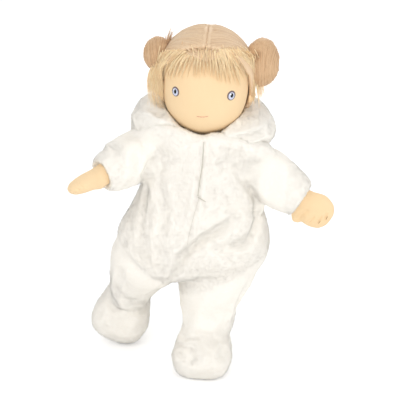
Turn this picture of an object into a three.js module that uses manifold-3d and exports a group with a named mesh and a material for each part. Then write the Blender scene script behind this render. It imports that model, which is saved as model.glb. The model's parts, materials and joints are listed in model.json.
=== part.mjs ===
// A soft cloth baby doll in a hooded plush romper, standing in mid step.
// Millimetres and degrees. +Z is up, the doll faces -Y, and left and right are the doll's own.
import * as THREE from 'three';
import { mergeVertices } from 'three/addons/utils/BufferGeometryUtils.js';
import Module from 'manifold-3d';

// Clearances
const seam = 0.35; // between pieces that are sewn together or lie against each other
const turning = 0.5; // round the neck and the gathers, so that their facets turn freely
const armpitGap = 3.6; // between a sleeve and the body panels
const flatCut = 0.5; // how deep the stepping toe is pressed flat on the floor

// Facets round each kind of form
const facets = {
  body: 20, inside: 14, sleeve: 14, trouser: 16, lining: 10, torso: 14, arm: 12, leg: 12, foot: 12,
  headRound: 20, headUp: 12, coreRound: 12, coreUp: 7, ball: 12, small: 8, cord: 5, thread: 12,
};

// Posture, read from the photograph
const stance = {
  bodyLean: 8.2, // spine, towards the doll's left
  bodyPitch: 6, // spine, forwards
  headRoll: 2.5,
  headYaw: -4,
  headPitch: -4,
  hoodRoll: 1,
  toesTurn: -9,
};
const limbs = {
  left: { side: 1, armDrop: 23.5, armSwing: 13, handTurn: 0, legSpread: -3.5, legSwing: 19 },
  right: {
    side: -1, armDrop: 20, armSwing: 37, handTurn: 75, legSpread: 11.5, footPitch: 16, footRoll: -4,
  },
};

// Stuffed body. A station of a form is [height or distance, half width, half depth, aside].
const torso = {
  bottom: [4, 28, 5],
  seat: [14, 43, 13],
  lap: [30, 47, 24],
  belly: [58, 48, 36],
  chest: [85, 41, 33],
  shoulders: [110, 38.5, 25],
  top: [124, 18, 16],
};
const neck = {
  height: 132, ballRadius: 10.5, columnLength: 17, tieRadius: 1.4, tieDrop: 4.2, tieTurns: 2, tiePitch: 2.1,
};
const shoulder = { halfSpan: 46.5, height: 112, ballRadius: 9 };
const hip = { halfSpan: 36, ballRadius: 10 };
const arm = { top: [18, 12.5, 12], middle: [39, 14, 13], wrist: [60, 11.5, 10.5] };
const hand = {
  length: 36, halfWidth: 14.5, halfThickness: 9, thumbLength: 14, thumbRadius: 5.2, thumbAt: 3,
  thumbAngle: 48,
};
const leg = { top: [24, 25.5, 25], knee: [42, 24, 24], ankle: [73, 17, 17.5] };
const foot = { toe: 33, heel: 13, halfWidth: 17.5, toeHeight: 19, height: 33 };

// Head
const head = {
  cheekRadius: 41.5, cheekHeight: 44, skullHalfWidth: 43, skullHalfHeight: 46, skullHeight: 60,
  depthRatio: 1.05, skin: 2, noseRadius: 4.4, noseHeight: 37, noseOut: 0.8,
};
const ear = { height: 46, halfHeight: 8, halfDepth: 3.6, reach: 7 };
const eye = {
  aside: 27, height: 50.5, rimRadius: 4.7, irisRadius: 3.7, pupilRadius: 1.9, glintRadius: 0.65,
  glintOff: 0.8, thread: 0.6,
};
const mouth = { height: 29, halfWidth: 4.8, droop: 1.2, thread: 0.5 };
const hair = { thickness: 4.2, sideEdge: 42, edgeSlope: 1.55, nape: 12 };
const fringe = {
  top: 90, bottom: 67, span: 56, spread: 1.26, locks: 11, halfWidth: 4.6, halfThickness: 1.6,
};
const buns = {
  left: { aside: 52, height: 76, halfWidth: 14, halfDepth: 14, halfHeight: 22 },
  right: { aside: 48, height: 79, halfWidth: 13, halfDepth: 14, halfHeight: 16 },
};
const bunTwist = { lobes: 3, depth: 0.07, turns: 1.1 };
const bunTie = { ringRadius: 8.5, cordRadius: 1.5 };

// Plush romper
const romper = {
  wall: 4,
  neckSeam: 127,
  seatSeam: 28,
  sideSeam: 4,
  crotch: [-15, 46, 24, 0],
  seat: [-3, 71, 40, 3],
  hips: [20, 79.5, 49, 5],
  waist: [48, 70.5, 48, 6],
  chest: [78, 60, 43, 5],
  yoke: [112, 48, 39, 2.5],
  neck: [127, 37, 36, 0],
  neckReach: 30, // how far the opening of the neck is cut upwards
};
const sleeve = {
  cap: [10, 25, 24], start: [30, 23.5, 22.5], elbow: [46, 21.5, 21], cuff: [60, 17.5, 17.5],
  from: -6, rounding: 5, hollowReach: 8,
};
const armholeRadius = Math.hypot(sleeve.start[0], sleeve.start[1]) + 2; // clears the turning sleeve
const trouser = {
  top: [6, 38.5, 37], start: [24, 35.5, 34.5], knee: [42, 30.5, 31], ankle: [73, 23, 24],
  from: -8, rounding: 8, intoBootie: 12, seamRise: 6,
};
const bootie = {
  toe: 46, heel: 24, halfWidth: 31, toeHeight: 29, height: 42, sole: 3, drop: 38, dip: 3.5,
};
const placket = { top: 124, bottom: 88, halfWidth: 7, strip: 1.4 };
const hood = {
  base: 33,
  seamHeight: -4,
  frontAngle: 4,
  cloth: 5,
  turns: 20,
  collar: { reach: 44, rim: 33, rimHeight: 7, bulge: 1, bottom: -3 },
  side: { reach: 74, rim: 60, rimHeight: 31, bulge: 6, bottom: -5 },
  back: { reach: 78, rim: 62, rimHeight: 36, bulge: -8, bottom: -30 },
};

// Colours
const paint = {
  plush: 0xf7f4ed,
  sole: 0xefeae0,
  skin: 0xf6dcb0,
  wool: 0xf0ead8,
  hair: 0xdcb78e,
  bun: 0xd6ab80,
  thread: 0xe9e2d2,
  rim: 0x4c566e,
  iris: 0xc3cde2,
  pupil: 0x20222c,
  glint: 0xffffff,
  lips: 0xd9a28a,
  tape: 0xf2f0ea,
  roughness: 0.92,
  plushRoughness: 1,
};

const wasm = await Module();
wasm.setup();

const radians = THREE.MathUtils.degToRad;
const mix = THREE.MathUtils.lerp;
const vector = (x, y, z) => new THREE.Vector3(x, y, z);

// Closed geometry to solid and back

function solidOf(geometry) {
  const bare = geometry.clone();
  bare.deleteAttribute('normal');
  bare.deleteAttribute('uv');
  const merged = mergeVertices(bare, 1e-4);
  return new wasm.Manifold(new wasm.Mesh({
    numProp: 3,
    vertProperties: new Float32Array(merged.attributes.position.array),
    triVerts: new Uint32Array(merged.index.array),
  }));
}

function geometryOf(solid) {
  const mesh = solid.getMesh();
  const geometry = new THREE.BufferGeometry();
  const positions = new Float32Array(mesh.vertProperties);
  geometry.setAttribute('position', new THREE.BufferAttribute(positions, 3));
  geometry.setIndex(new THREE.BufferAttribute(new Uint32Array(mesh.triVerts), 1));
  geometry.computeVertexNormals();
  return geometry;
}

const moved = (solid, matrix) => solidOf(geometryOf(solid).applyMatrix4(matrix));
const joined = (solids) => solids.reduce((sum, solid) => sum.add(solid));
const cutBy = (solid, cutters) => cutters.reduce((left, cutter) => left.subtract(cutter), solid);

// Lofted forms

// Smooth curve through rows of numbers that vary together, sampled `steps` times between rows
function smoothRows(rows, steps) {
  const curves = rows[0].map((value, column) => new THREE.SplineCurve(
    rows.map((row, index) => new THREE.Vector2(index, row[column])),
  ));
  const count = (rows.length - 1) * steps;
  return Array.from({ length: count + 1 }, (unused, i) => (
    curves.map((curve) => curve.getPoint(i / count).y)
  ));
}

// Skin over rings of points, each ring anticlockwise seen from ahead, both ends closed by a fan
function skinOver(rings) {
  const sides = rings[0].length;
  const last = (rings.length - 1) * sides;
  const points = rings.flat();
  const faces = [];
  for (let row = 0; row < last; row += sides) {
    for (let k = 0; k < sides; k += 1) {
      const next = (k + 1) % sides;
      faces.push(row + k, row + next, row + sides + next);
      faces.push(row + k, row + sides + next, row + sides + k);
    }
  }
  const middleOf = (ring) => ring.reduce((sum, p) => sum.add(p), vector(0, 0, 0)).divideScalar(sides);
  const start = points.push(middleOf(rings[0])) - 1;
  const end = points.push(middleOf(rings[rings.length - 1])) - 1;
  for (let k = 0; k < sides; k += 1) {
    const next = (k + 1) % sides;
    faces.push(start, next, k, end, last + k, last + next);
  }
  const geometry = new THREE.BufferGeometry().setFromPoints(points);
  geometry.setIndex(faces);
  return solidOf(geometry);
}

function oval(sides, halfWidth, halfDepth, squareness = 1) {
  return Array.from({ length: sides }, (unused, k) => {
    const turn = (2 * Math.PI * k) / sides;
    const c = Math.cos(turn);
    const s = Math.sin(turn);
    return [
      Math.sign(c) * Math.abs(c) ** squareness * halfWidth,
      Math.sign(s) * Math.abs(s) ** squareness * halfDepth,
    ];
  });
}

// Upright form through stations, from low to high. grow swells it all round.
function form(stations, { steps = 2, sides = facets.inside, grow = 0 } = {}) {
  const rows = smoothRows(stations, steps);
  const rings = rows.map(([height, halfWidth, halfDepth, aside = 0], index) => {
    let z = height;
    if (index === 0) z -= grow;
    if (index === rows.length - 1) z += grow;
    return oval(sides, halfWidth + grow, halfDepth + grow).map(([x, y]) => vector(x + aside, y, z));
  });
  return skinOver(rings);
}

// Form that hangs down from the origin, its stations given by distance
function limbForm(stations, options) {
  const hung = stations.map(([distance, halfWidth, halfDepth]) => [-distance, halfWidth, halfDepth]);
  return form(hung.reverse(), options);
}

function ball(radius, at = vector(0, 0, 0), sides = facets.ball) {
  const geometry = new THREE.SphereGeometry(radius, sides, sides / 2).rotateX(Math.PI / 2);
  return solidOf(geometry.translate(at.x, at.y, at.z));
}

function block(low, high) {
  const size = high.clone().sub(low);
  const middle = low.clone().add(high).divideScalar(2);
  const geometry = new THREE.BoxGeometry(size.x, size.y, size.z);
  return solidOf(geometry.translate(middle.x, middle.y, middle.z));
}

const far = 500; // reaches past the whole doll
const above = (z) => block(vector(-far, -far, z), vector(far, far, far));
const below = (z) => block(vector(-far, -far, -far), vector(far, far, z));
const leftOf = (x) => block(vector(x, -far, -far), vector(far, far, far));
const rightOf = (x) => block(vector(-far, -far, -far), vector(x, far, far));
const frontOf = (y) => block(vector(-far, -far, -far), vector(far, y, far));
const behind = (y) => block(vector(-far, y, -far), vector(far, far, far));

// Frames: one at the pivot of each moving body, nested as the body is joined

const doll = new THREE.Group();
const frames = { doll };

function addFrame(name, parent, position, [x, y, z]) {
  const frame = new THREE.Group();
  frame.name = `${name}_frame`;
  frame.position.copy(position);
  frame.rotation.set(radians(x), radians(y), radians(z), 'ZYX');
  frames[parent].add(frame);
  frames[name] = frame;
}

addFrame('torso', 'doll', vector(0, 0, 0), [stance.bodyPitch, stance.bodyLean, 0]);
const neckPlace = vector(0, 0, neck.height);
addFrame('hood', 'torso', neckPlace, [-stance.bodyPitch, stance.hoodRoll - stance.bodyLean, 0]);
addFrame('neck', 'torso', neckPlace, [0, stance.headRoll - stance.bodyLean, stance.headYaw]);
addFrame('head', 'neck', vector(0, 0, 0), [stance.headPitch - stance.bodyPitch, 0, 0]);
for (const [name, limb] of Object.entries(limbs)) {
  const shoulderPlace = vector(limb.side * shoulder.halfSpan, 0, shoulder.height);
  const hipPlace = vector(limb.side * hip.halfSpan, 0, 0);
  addFrame(`shoulder_${name}`, 'torso', shoulderPlace, [0, -limb.side * (90 - limb.armDrop), 0]);
  addFrame(`arm_${name}`, `shoulder_${name}`, vector(0, 0, 0), [-limb.armSwing, 0, 0]);
  addFrame(`hip_${name}`, 'torso', hipPlace, [0, -limb.side * limb.legSpread, 0]);
  addFrame(`leg_${name}`, `hip_${name}`, vector(0, 0, 0), [-(limb.legSwing ?? 0), 0, 0]);
  addFrame(`foot_${name}`, `leg_${name}`, vector(0, 0, -leg.ankle[0]), [0, 0, 0]);
}
doll.updateMatrixWorld(true);

const between = (from, to) => frames[to].matrixWorld.clone().invert().multiply(frames[from].matrixWorld);
const inFrame = (solid, from, to) => moved(solid, between(from, to));

// Foot form, toe to heel, as rings that dip under the sole plane. inset shrinks it all round.
function footRings(size, inset = 0, steps = 2) {
  const rows = [
    [-size.toe, 0.2 * size.halfWidth, 0.25 * size.toeHeight, 0.5 * size.toeHeight],
    [-0.95 * size.toe, 0.58 * size.halfWidth, 0.04 * size.toeHeight, 0.78 * size.toeHeight],
    [-0.78 * size.toe, 0.9 * size.halfWidth, -bootie.dip, size.toeHeight],
    [-0.4 * size.toe, size.halfWidth, -bootie.dip, 0.9 * size.height],
    [0, 0.84 * size.halfWidth, -bootie.dip, size.height],
    [0.6 * size.heel, 0.72 * size.halfWidth, -bootie.dip, 0.95 * size.height],
    [0.92 * size.heel, 0.5 * size.halfWidth, 0.04 * size.height, 0.66 * size.height],
    [size.heel, 0.2 * size.halfWidth, 0.2 * size.height, 0.42 * size.height],
  ];
  const smooth = smoothRows(rows, steps);
  const squareness = 0.8;
  return smooth.map(([y, halfWidth, low, high], index) => {
    const halfHeight = (high - low) / 2 - inset;
    let at = y;
    if (index === 0) at += inset;
    if (index === smooth.length - 1) at -= inset;
    return oval(facets.foot, halfWidth - inset, -halfHeight, squareness)
      .map(([x, z]) => vector(x, at, z + (high + low) / 2 - bootie.drop));
  });
}
const solePlane = -bootie.drop;
const soleTop = solePlane + bootie.sole;
const bootieForm = skinOver(footRings(bootie)).intersect(above(solePlane));

// The standing foot is flat on the floor, and the stepping leg swings back until its toe is
const standingAnkle = frames.foot_left.getWorldPosition(vector(0, 0, 0));
frames.torso.position.z = bootie.drop - standingAnkle.z;
frames.foot_left.quaternion.copy(frames.leg_left.getWorldQuaternion(new THREE.Quaternion()).invert());
frames.foot_left.rotateZ(radians(stance.toesTurn));
frames.foot_right.rotation.set(
  radians(limbs.right.footPitch),
  radians(limbs.right.footRoll),
  radians(stance.toesTurn),
  'ZYX',
);

function toeHeight(swing) {
  frames.leg_right.rotation.x = -radians(swing);
  doll.updateMatrixWorld(true);
  const placed = geometryOf(bootieForm).applyMatrix4(frames.foot_right.matrixWorld);
  placed.computeBoundingBox();
  return placed.boundingBox.min.z;
}

let forward = -8; // toe under the floor
let back = -60; // toe clear of it
for (let i = 0; i < 30; i += 1) {
  const middle = (forward + back) / 2;
  if (toeHeight(middle) < -flatCut) forward = middle;
  else back = middle;
}

// Pieces

function addPiece(name, frame, solid, colour) {
  const roughness = colour === paint.plush || colour === paint.sole ? paint.plushRoughness : paint.roughness;
  const material = new THREE.MeshStandardMaterial({ color: colour, roughness, metalness: 0 });
  material.name = name;
  const mesh = new THREE.Mesh(geometryOf(solid), material);
  mesh.name = name;
  frames[frame].add(mesh);
}

// Shoulder, hip and neck gathers are tied tufts of cloth, so they are round
const shoulderBalls = {};
const hipBalls = {};
for (const name of Object.keys(limbs)) {
  shoulderBalls[name] = (grow) => inFrame(ball(shoulder.ballRadius + grow), `shoulder_${name}`, 'torso');
  hipBalls[name] = (grow) => inFrame(ball(hip.ballRadius + grow), `hip_${name}`, 'torso');
}

function neckForm(grow = 0) {
  const radius = neck.ballRadius + grow;
  const end = -neck.columnLength - grow;
  const profile = [new THREE.Vector2(0, end), new THREE.Vector2(radius, end)];
  const arcSteps = facets.ball / 2;
  for (let i = 0; i <= arcSteps; i += 1) {
    const turn = (i / arcSteps) * (Math.PI / 2);
    const across = i === arcSteps ? 0 : radius * Math.cos(turn);
    profile.push(new THREE.Vector2(across, radius * Math.sin(turn)));
  }
  return solidOf(new THREE.LatheGeometry(profile, facets.ball).rotateX(Math.PI / 2));
}

// Thread wound round the neck
function neckTieForm(grow = 0) {
  const wound = [];
  for (let i = 0; i < neck.tieTurns; i += 1) {
    const ring = new THREE.TorusGeometry(
      neck.ballRadius + seam + neck.tieRadius, neck.tieRadius + grow, facets.cord, facets.ball,
    );
    wound.push(solidOf(ring.translate(0, 0, -neck.tieDrop - i * neck.tiePitch)));
  }
  return joined(wound);
}

const torsoForm = form(Object.values(torso), { sides: facets.torso });
const torsoBody = cutBy(torsoForm, [
  ...Object.keys(limbs).flatMap((name) => [shoulderBalls[name](turning), hipBalls[name](turning)]),
  inFrame(neckForm(turning), 'neck', 'torso'),
  inFrame(neckTieForm(turning), 'neck', 'torso'),
]);
addPiece('torso_body', 'torso', torsoBody, paint.skin);
addPiece('neck_stump', 'neck', neckForm(), paint.skin);
addPiece('neck_tie', 'neck', neckTieForm(), paint.thread);

// Arms: each hangs from its shoulder gather and ends in a mitten hand with a thumb

function armForm({ side, handTurn }) {
  const start = shoulder.ballRadius + seam;
  const [wristAt, wristWidth, wristDepth] = arm.wrist;
  const palm = wristAt + 0.5 * hand.length;
  const tip = wristAt + hand.length;
  const armOfSkin = limbForm([
    [start, 5, 5],
    [start + 3, 0.85 * arm.top[1], 0.85 * arm.top[2]],
    arm.top,
    arm.middle,
    arm.wrist,
    [wristAt + 0.2 * hand.length, 0.98 * wristWidth, 0.9 * wristDepth],
    [palm, hand.halfWidth, hand.halfThickness],
    [tip - 0.14 * hand.length, 0.78 * hand.halfWidth, 0.72 * hand.halfThickness],
    [tip, 0.3 * hand.halfWidth, 0.3 * hand.halfThickness],
  ], { sides: facets.arm });
  const thumb = limbForm([
    [-4, 0.8 * hand.thumbRadius, 0.8 * hand.thumbRadius],
    [0.35 * hand.thumbLength, hand.thumbRadius, hand.thumbRadius],
    [0.8 * hand.thumbLength, 0.8 * hand.thumbRadius, 0.8 * hand.thumbRadius],
    [hand.thumbLength, 0.3 * hand.thumbRadius, 0.3 * hand.thumbRadius],
  ], { sides: facets.small, steps: 1 });
  const thumbTurn = new THREE.Matrix4().makeRotationY(radians(side * hand.thumbAngle));
  thumbTurn.setPosition(-side * 0.35 * hand.halfWidth, 0, -wristAt - hand.thumbAt);
  const turned = new THREE.Matrix4().makeRotationZ(radians(handTurn));
  return moved(armOfSkin.add(moved(thumb, thumbTurn)), turned);
}

// Legs: each hangs from its hip gather and ends in a stuffed foot

const stuffedFoot = skinOver(footRings(foot, 0, 1)).intersect(above(soleTop + 2 * seam));

function legForm(name) {
  const start = hip.ballRadius + seam;
  const [ankleAt, ankleWidth, ankleDepth] = leg.ankle;
  const upper = limbForm([
    [start, 7, 7],
    [start + 3, 0.78 * leg.top[1], 0.78 * leg.top[2]],
    leg.top,
    leg.knee,
    leg.ankle,
    [ankleAt + 8, 0.9 * ankleWidth, 0.9 * ankleDepth],
  ], { sides: facets.leg });
  return upper.add(inFrame(stuffedFoot, `foot_${name}`, `leg_${name}`));
}

// Romper: outer and inner faces of the body, the sleeves and the legs

const bodyStations = [
  romper.crotch, romper.seat, romper.hips, romper.waist, romper.chest, romper.yoke, romper.neck,
  [romper.neck[0] + 8, romper.neck[1] - 3, romper.neck[2] - 3, 0],
];
const bodyForm = (grow = 0) => form(bodyStations, { sides: facets.body, grow });
const bodyOuter = bodyForm();

// Body stations drawn in from the outer face by a depth
function bodyInset(depth) {
  return bodyStations.map(([z, halfWidth, halfDepth, aside], index) => [
    index === 0 ? z + depth : z, halfWidth - depth, halfDepth - depth, aside,
  ]);
}
const insideNeck = bodyInset(romper.wall).at(-1);
const neckOpening = form([insideNeck, [insideNeck[0] + romper.neckReach, insideNeck[1], insideNeck[2]]]);
const bodyInner = form(bodyInset(romper.wall)).add(neckOpening);

const drawnIn = ([at, halfWidth, halfDepth], depth) => [at, halfWidth - depth, halfDepth - depth];

// Sleeve from inside the body to the cuff, drawn in by a depth
function sleeveForm(depth = 0, { from = sleeve.from, beyond = 0, sides = facets.sleeve, steps = 2 } = {}) {
  const [cuffAt, cuffWidth, cuffDepth] = sleeve.cuff;
  return limbForm([
    [from, sleeve.cap[1] - sleeve.rounding, sleeve.cap[2] - sleeve.rounding],
    sleeve.cap,
    sleeve.start,
    sleeve.elbow,
    [cuffAt + beyond, cuffWidth, cuffDepth],
  ].map((station) => drawnIn(station, depth)), { sides, steps });
}
const sleeveHollow = sleeveForm(romper.wall, {
  from: sleeve.from - sleeve.hollowReach, beyond: sleeve.hollowReach, sides: facets.lining, steps: 1,
});

// Trouser leg from inside the body to the bootie, drawn in by a depth
function trouserForm(depth = 0, { from = trouser.from, sides = facets.trouser, steps = 2 } = {}) {
  const [ankleAt, ankleWidth, ankleDepth] = trouser.ankle;
  return limbForm([
    [from, trouser.top[1] - trouser.rounding, trouser.top[2] - trouser.rounding],
    trouser.top,
    trouser.start,
    trouser.knee,
    trouser.ankle,
    [ankleAt + trouser.intoBootie, ankleWidth, ankleDepth],
  ].map((station) => drawnIn(station, depth)), { sides, steps });
}
const trouserHollow = trouserForm(romper.wall, {
  from: trouser.from + trouser.rounding, sides: facets.lining, steps: 1,
});

const armStart = sleeve.start[0];
const legStart = trouser.start[0];
const ankleSeam = trouser.ankle[0] - trouser.seamRise;

const sleeveOuters = {};
const capZones = {};
for (const name of Object.keys(limbs)) {
  const upperSleeve = (grow) => sleeveForm(-grow).intersect(above(-armStart - grow));
  sleeveOuters[name] = (grow) => inFrame(sleeveForm(-grow), `arm_${name}`, 'torso');
  capZones[name] = (grow) => inFrame(
    ball(armholeRadius + grow, vector(0, 0, 0), facets.body).add(upperSleeve(grow)), `arm_${name}`, 'torso',
  );
}

// Body panels between the seat seam and the neck seam
const bodyBand = bodyOuter
  .intersect(above(romper.seatSeam))
  .intersect(below(romper.neckSeam))
  .subtract(bodyInner);
const panels = cutBy(bodyBand, Object.keys(limbs).flatMap((name) => [
  capZones[name](seam), sleeveOuters[name](armpitGap),
]));
const frontHalf = panels.intersect(frontOf(romper.sideSeam - seam / 2));
addPiece('romper_front_left', 'torso', frontHalf.intersect(leftOf(seam / 2)), paint.plush);
addPiece('romper_front_right', 'torso', frontHalf.intersect(rightOf(-seam / 2)), paint.plush);
addPiece('romper_back', 'torso', panels.intersect(behind(romper.sideSeam + seam / 2)), paint.plush);

// Seat of the romper, with the tops of both legs
const trouserTops = Object.keys(limbs).map((name) => inFrame(
  trouserForm().intersect(above(-legStart)), `leg_${name}`, 'torso',
));
const trouserHollows = Object.keys(limbs).map((name) => inFrame(trouserHollow, `leg_${name}`, 'torso'));
const seatOuter = joined([bodyOuter, ...trouserTops]).intersect(below(romper.seatSeam - seam));
const legCuts = Object.keys(limbs).map((name) => inFrame(
  trouserForm(-seam).intersect(below(-legStart + seam)), `leg_${name}`, 'torso',
));
const seatPiece = cutBy(seatOuter, [bodyInner, ...trouserHollows, ...legCuts]);
addPiece('romper_seat', 'torso', seatPiece, paint.plush);

// Front closure under the edge where the front panels meet
function closureStrip(depth) {
  const outside = form(bodyInset(romper.wall + depth));
  const inside = form(bodyInset(romper.wall + depth + placket.strip));
  const { halfWidth, bottom, top } = placket;
  const place = block(vector(-halfWidth, -far, bottom), vector(halfWidth, 0, top));
  return outside.subtract(inside).intersect(place);
}
addPiece('closure_loop_strip', 'torso', closureStrip(seam), paint.tape);
addPiece('closure_hook_strip', 'torso', closureStrip(2 * seam + placket.strip), paint.tape);

// Limbs and their covers
for (const [name, limb] of Object.entries(limbs)) {
  addPiece(`shoulder_gather_${name}`, `shoulder_${name}`, ball(shoulder.ballRadius), paint.skin);
  addPiece(`arm_${name}`, `arm_${name}`, armForm(limb), paint.skin);
  const sleeveShell = sleeveForm().subtract(sleeveHollow);
  addPiece(`sleeve_${name}`, `arm_${name}`, sleeveShell.intersect(below(-armStart - seam)), paint.plush);

  const capOuter = joined([bodyOuter, sleeveOuters[name](0)])
    .intersect(capZones[name](0))
    .intersect(below(romper.neckSeam));
  const hollow = inFrame(sleeveHollow, `arm_${name}`, 'torso');
  const lowerSleeve = inFrame(sleeveForm(-seam).intersect(below(-armStart)), `arm_${name}`, 'torso');
  addPiece(`sleeve_cap_${name}`, 'torso', cutBy(capOuter, [bodyInner, hollow, lowerSleeve]), paint.plush);

  addPiece(`hip_gather_${name}`, `hip_${name}`, ball(hip.ballRadius), paint.skin);
  addPiece(`leg_${name}`, `leg_${name}`, legForm(name), paint.skin);
  const trouserShell = trouserForm().subtract(trouserHollow);
  addPiece(
    `romper_leg_${name}`,
    `leg_${name}`,
    trouserShell.intersect(below(-legStart)).intersect(above(-ankleSeam)),
    paint.plush,
  );

  // Bootie with its flat sole, cut by the floor
  const floor = inFrame(below(0), 'doll', `foot_${name}`);
  const ankle = inFrame(trouserForm().intersect(below(-ankleSeam - seam)), `leg_${name}`, `foot_${name}`);
  const ankleHollow = inFrame(trouserHollow, `leg_${name}`, `foot_${name}`);
  const footHollow = skinOver(footRings(bootie, romper.wall, 1));
  const upper = cutBy(bootieForm.add(ankle), [footHollow, ankleHollow, below(soleTop + seam), floor]);
  addPiece(`bootie_${name}`, `foot_${name}`, upper, paint.plush);
  const sole = bootieForm.intersect(below(soleTop)).subtract(floor);
  addPiece(`sole_${name}`, `foot_${name}`, sole, paint.sole);
}

// Head: stuffed core, skin with an open neck, and what is sewn on it

// Half width of the head at a height over the neck pivot
function headRadius(z) {
  const { cheekRadius, cheekHeight, skullHalfWidth, skullHalfHeight, skullHeight } = head;
  if (z <= cheekHeight) return Math.sqrt(Math.max(0, cheekRadius ** 2 - (z - cheekHeight) ** 2));
  if (z >= skullHeight) {
    return skullHalfWidth * Math.sqrt(Math.max(0, 1 - ((z - skullHeight) / skullHalfHeight) ** 2));
  }
  return mix(cheekRadius, skullHalfWidth, (z - cheekHeight) / (skullHeight - cheekHeight));
}

function headForm(grow, sides = facets.headRound, steps = facets.headUp) {
  const low = head.cheekHeight - head.cheekRadius;
  const high = head.skullHeight + head.skullHalfHeight;
  const profile = [];
  for (let i = 0; i <= steps; i += 1) {
    const z = (low + high) / 2 - ((high - low) / 2) * Math.cos((i / steps) * Math.PI);
    const slope = Math.cos((i / steps) * Math.PI);
    const radius = i === 0 || i === steps ? 0 : headRadius(z) + grow * Math.sqrt(1 - slope ** 2);
    profile.push(new THREE.Vector2(radius, z - grow * slope));
  }
  const geometry = new THREE.LatheGeometry(profile, sides).rotateX(Math.PI / 2);
  return solidOf(geometry.scale(1, head.depthRatio, 1));
}

// Point on the face at a bearing from straight ahead, in radians, and a height, lifted off the skin
function facePoint(bearing, z, lift) {
  const radius = headRadius(z);
  const place = vector(radius * Math.sin(bearing), -head.depthRatio * radius * Math.cos(bearing), z);
  const out = place.clone().setZ(z - (head.cheekHeight + head.skullHeight) / 2).normalize();
  return { place: place.addScaledVector(out, lift), out };
}
const bearingOf = (x, z) => Math.asin(x / headRadius(z));

const headBody = headForm(0);
const nose = ball(head.noseRadius, facePoint(0, head.noseHeight, head.noseOut - head.noseRadius).place);
const neckHole = inFrame(neckForm(turning), 'neck', 'head');
const headInside = headForm(-head.skin, facets.coreRound, facets.coreUp);
addPiece('head_skin', 'head', cutBy(headBody.add(nose), [headInside, neckHole]), paint.skin);
const headCore = headForm(-head.skin - seam, facets.coreRound, facets.coreUp);
addPiece('head_core', 'head', headCore.subtract(neckHole), paint.wool);

// Wig: two parted halves behind a slanted hairline
const overSkin = headForm(seam);
const hairline = solidOf(new THREE.ExtrudeGeometry(
  new THREE.Shape([
    new THREE.Vector2(-far, hair.sideEdge + far * hair.edgeSlope),
    new THREE.Vector2((hair.sideEdge - hair.nape) / hair.edgeSlope, hair.nape),
    new THREE.Vector2(far, hair.nape),
    new THREE.Vector2(far, far),
    new THREE.Vector2(-far, 2 * far * hair.edgeSlope),
  ]),
  { depth: 2 * far, bevelEnabled: false },
).rotateX(Math.PI / 2).rotateZ(Math.PI / 2).translate(-far, 0, 0));
const wigForm = (grow) => headForm(hair.thickness + grow).intersect(hairline);
const wig = wigForm(0).subtract(overSkin);
addPiece('wig_left', 'head', wig.intersect(leftOf(seam / 2)), paint.hair);
addPiece('wig_right', 'head', wig.intersect(rightOf(-seam / 2)), paint.hair);

// Fringe: tapering locks combed over the forehead from the parting
function lock(share) {
  const steps = 3;
  const rings = [];
  for (let i = 0; i <= steps; i += 1) {
    const along = i / steps;
    const fullness = Math.sqrt(Math.max(0.04, 1 - along ** 2.4));
    const waver = 0.05 * Math.sin(7 * share);
    const bearing = radians(share * fringe.span * mix(1, fringe.spread + waver, along));
    const bottom = fringe.bottom + 2.4 * Math.cos(9 * share) + 4 * share ** 2;
    const { place, out } = facePoint(bearing, mix(fringe.top, bottom, along), seam + fringe.halfThickness);
    const across = vector(0, 0, -1).cross(out).normalize();
    rings.push(oval(6, fringe.halfWidth * fullness, fringe.halfThickness * fullness)
      .map(([u, v]) => place.clone().addScaledVector(across, -u).addScaledVector(out, v)));
  }
  return skinOver(rings);
}
const locks = Array.from({ length: fringe.locks }, (unused, i) => lock((2 * i) / (fringe.locks - 1) - 1));
addPiece('fringe', 'head', cutBy(joined(locks), [overSkin, wigForm(seam)]), paint.hair);

// Ears, and the buns with the ties at their roots
for (const [name, limb] of Object.entries(limbs)) {
  const earForm = solidOf(new THREE.SphereGeometry(1, facets.ball, facets.small)
    .scale(ear.reach, ear.halfDepth, ear.halfHeight)
    .translate(limb.side * headRadius(ear.height), 0, ear.height));
  addPiece(`ear_${name}`, 'head', cutBy(earForm, [overSkin, wigForm(seam)]), paint.skin);

  const bun = buns[name];
  const rootHeight = bun.height;
  const root = headRadius(rootHeight) + hair.thickness + bunTie.cordRadius + seam;
  const ring = (grow) => solidOf(
    new THREE.TorusGeometry(bunTie.ringRadius, bunTie.cordRadius + grow, facets.cord, facets.ball)
      .rotateY(Math.PI / 2)
      .translate(limb.side * root, 0, rootHeight),
  );
  addPiece(`bun_tie_${name}`, 'head', ring(0).subtract(wigForm(seam)), paint.bun);
  const geometry = new THREE.SphereGeometry(1, facets.leg, facets.ball).rotateZ(-Math.PI / 2);
  const places = geometry.attributes.position;
  const twisted = vector(0, 0, 0);
  for (let i = 0; i < places.count; i += 1) {
    twisted.fromBufferAttribute(places, i);
    const turn = Math.atan2(twisted.z, twisted.y);
    const wound = bunTwist.lobes * (turn - bunTwist.turns * twisted.x * Math.PI);
    const swell = 1 + bunTwist.depth * Math.cos(wound);
    places.setXYZ(i, twisted.x, twisted.y * swell, twisted.z * swell);
  }
  geometry.scale(bun.halfWidth, bun.halfDepth, bun.halfHeight);
  geometry.translate(limb.side * bun.aside, 0, rootHeight);
  addPiece(`bun_${name}`, 'head', cutBy(solidOf(geometry), [ring(seam), wigForm(seam)]), paint.bun);
}

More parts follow.
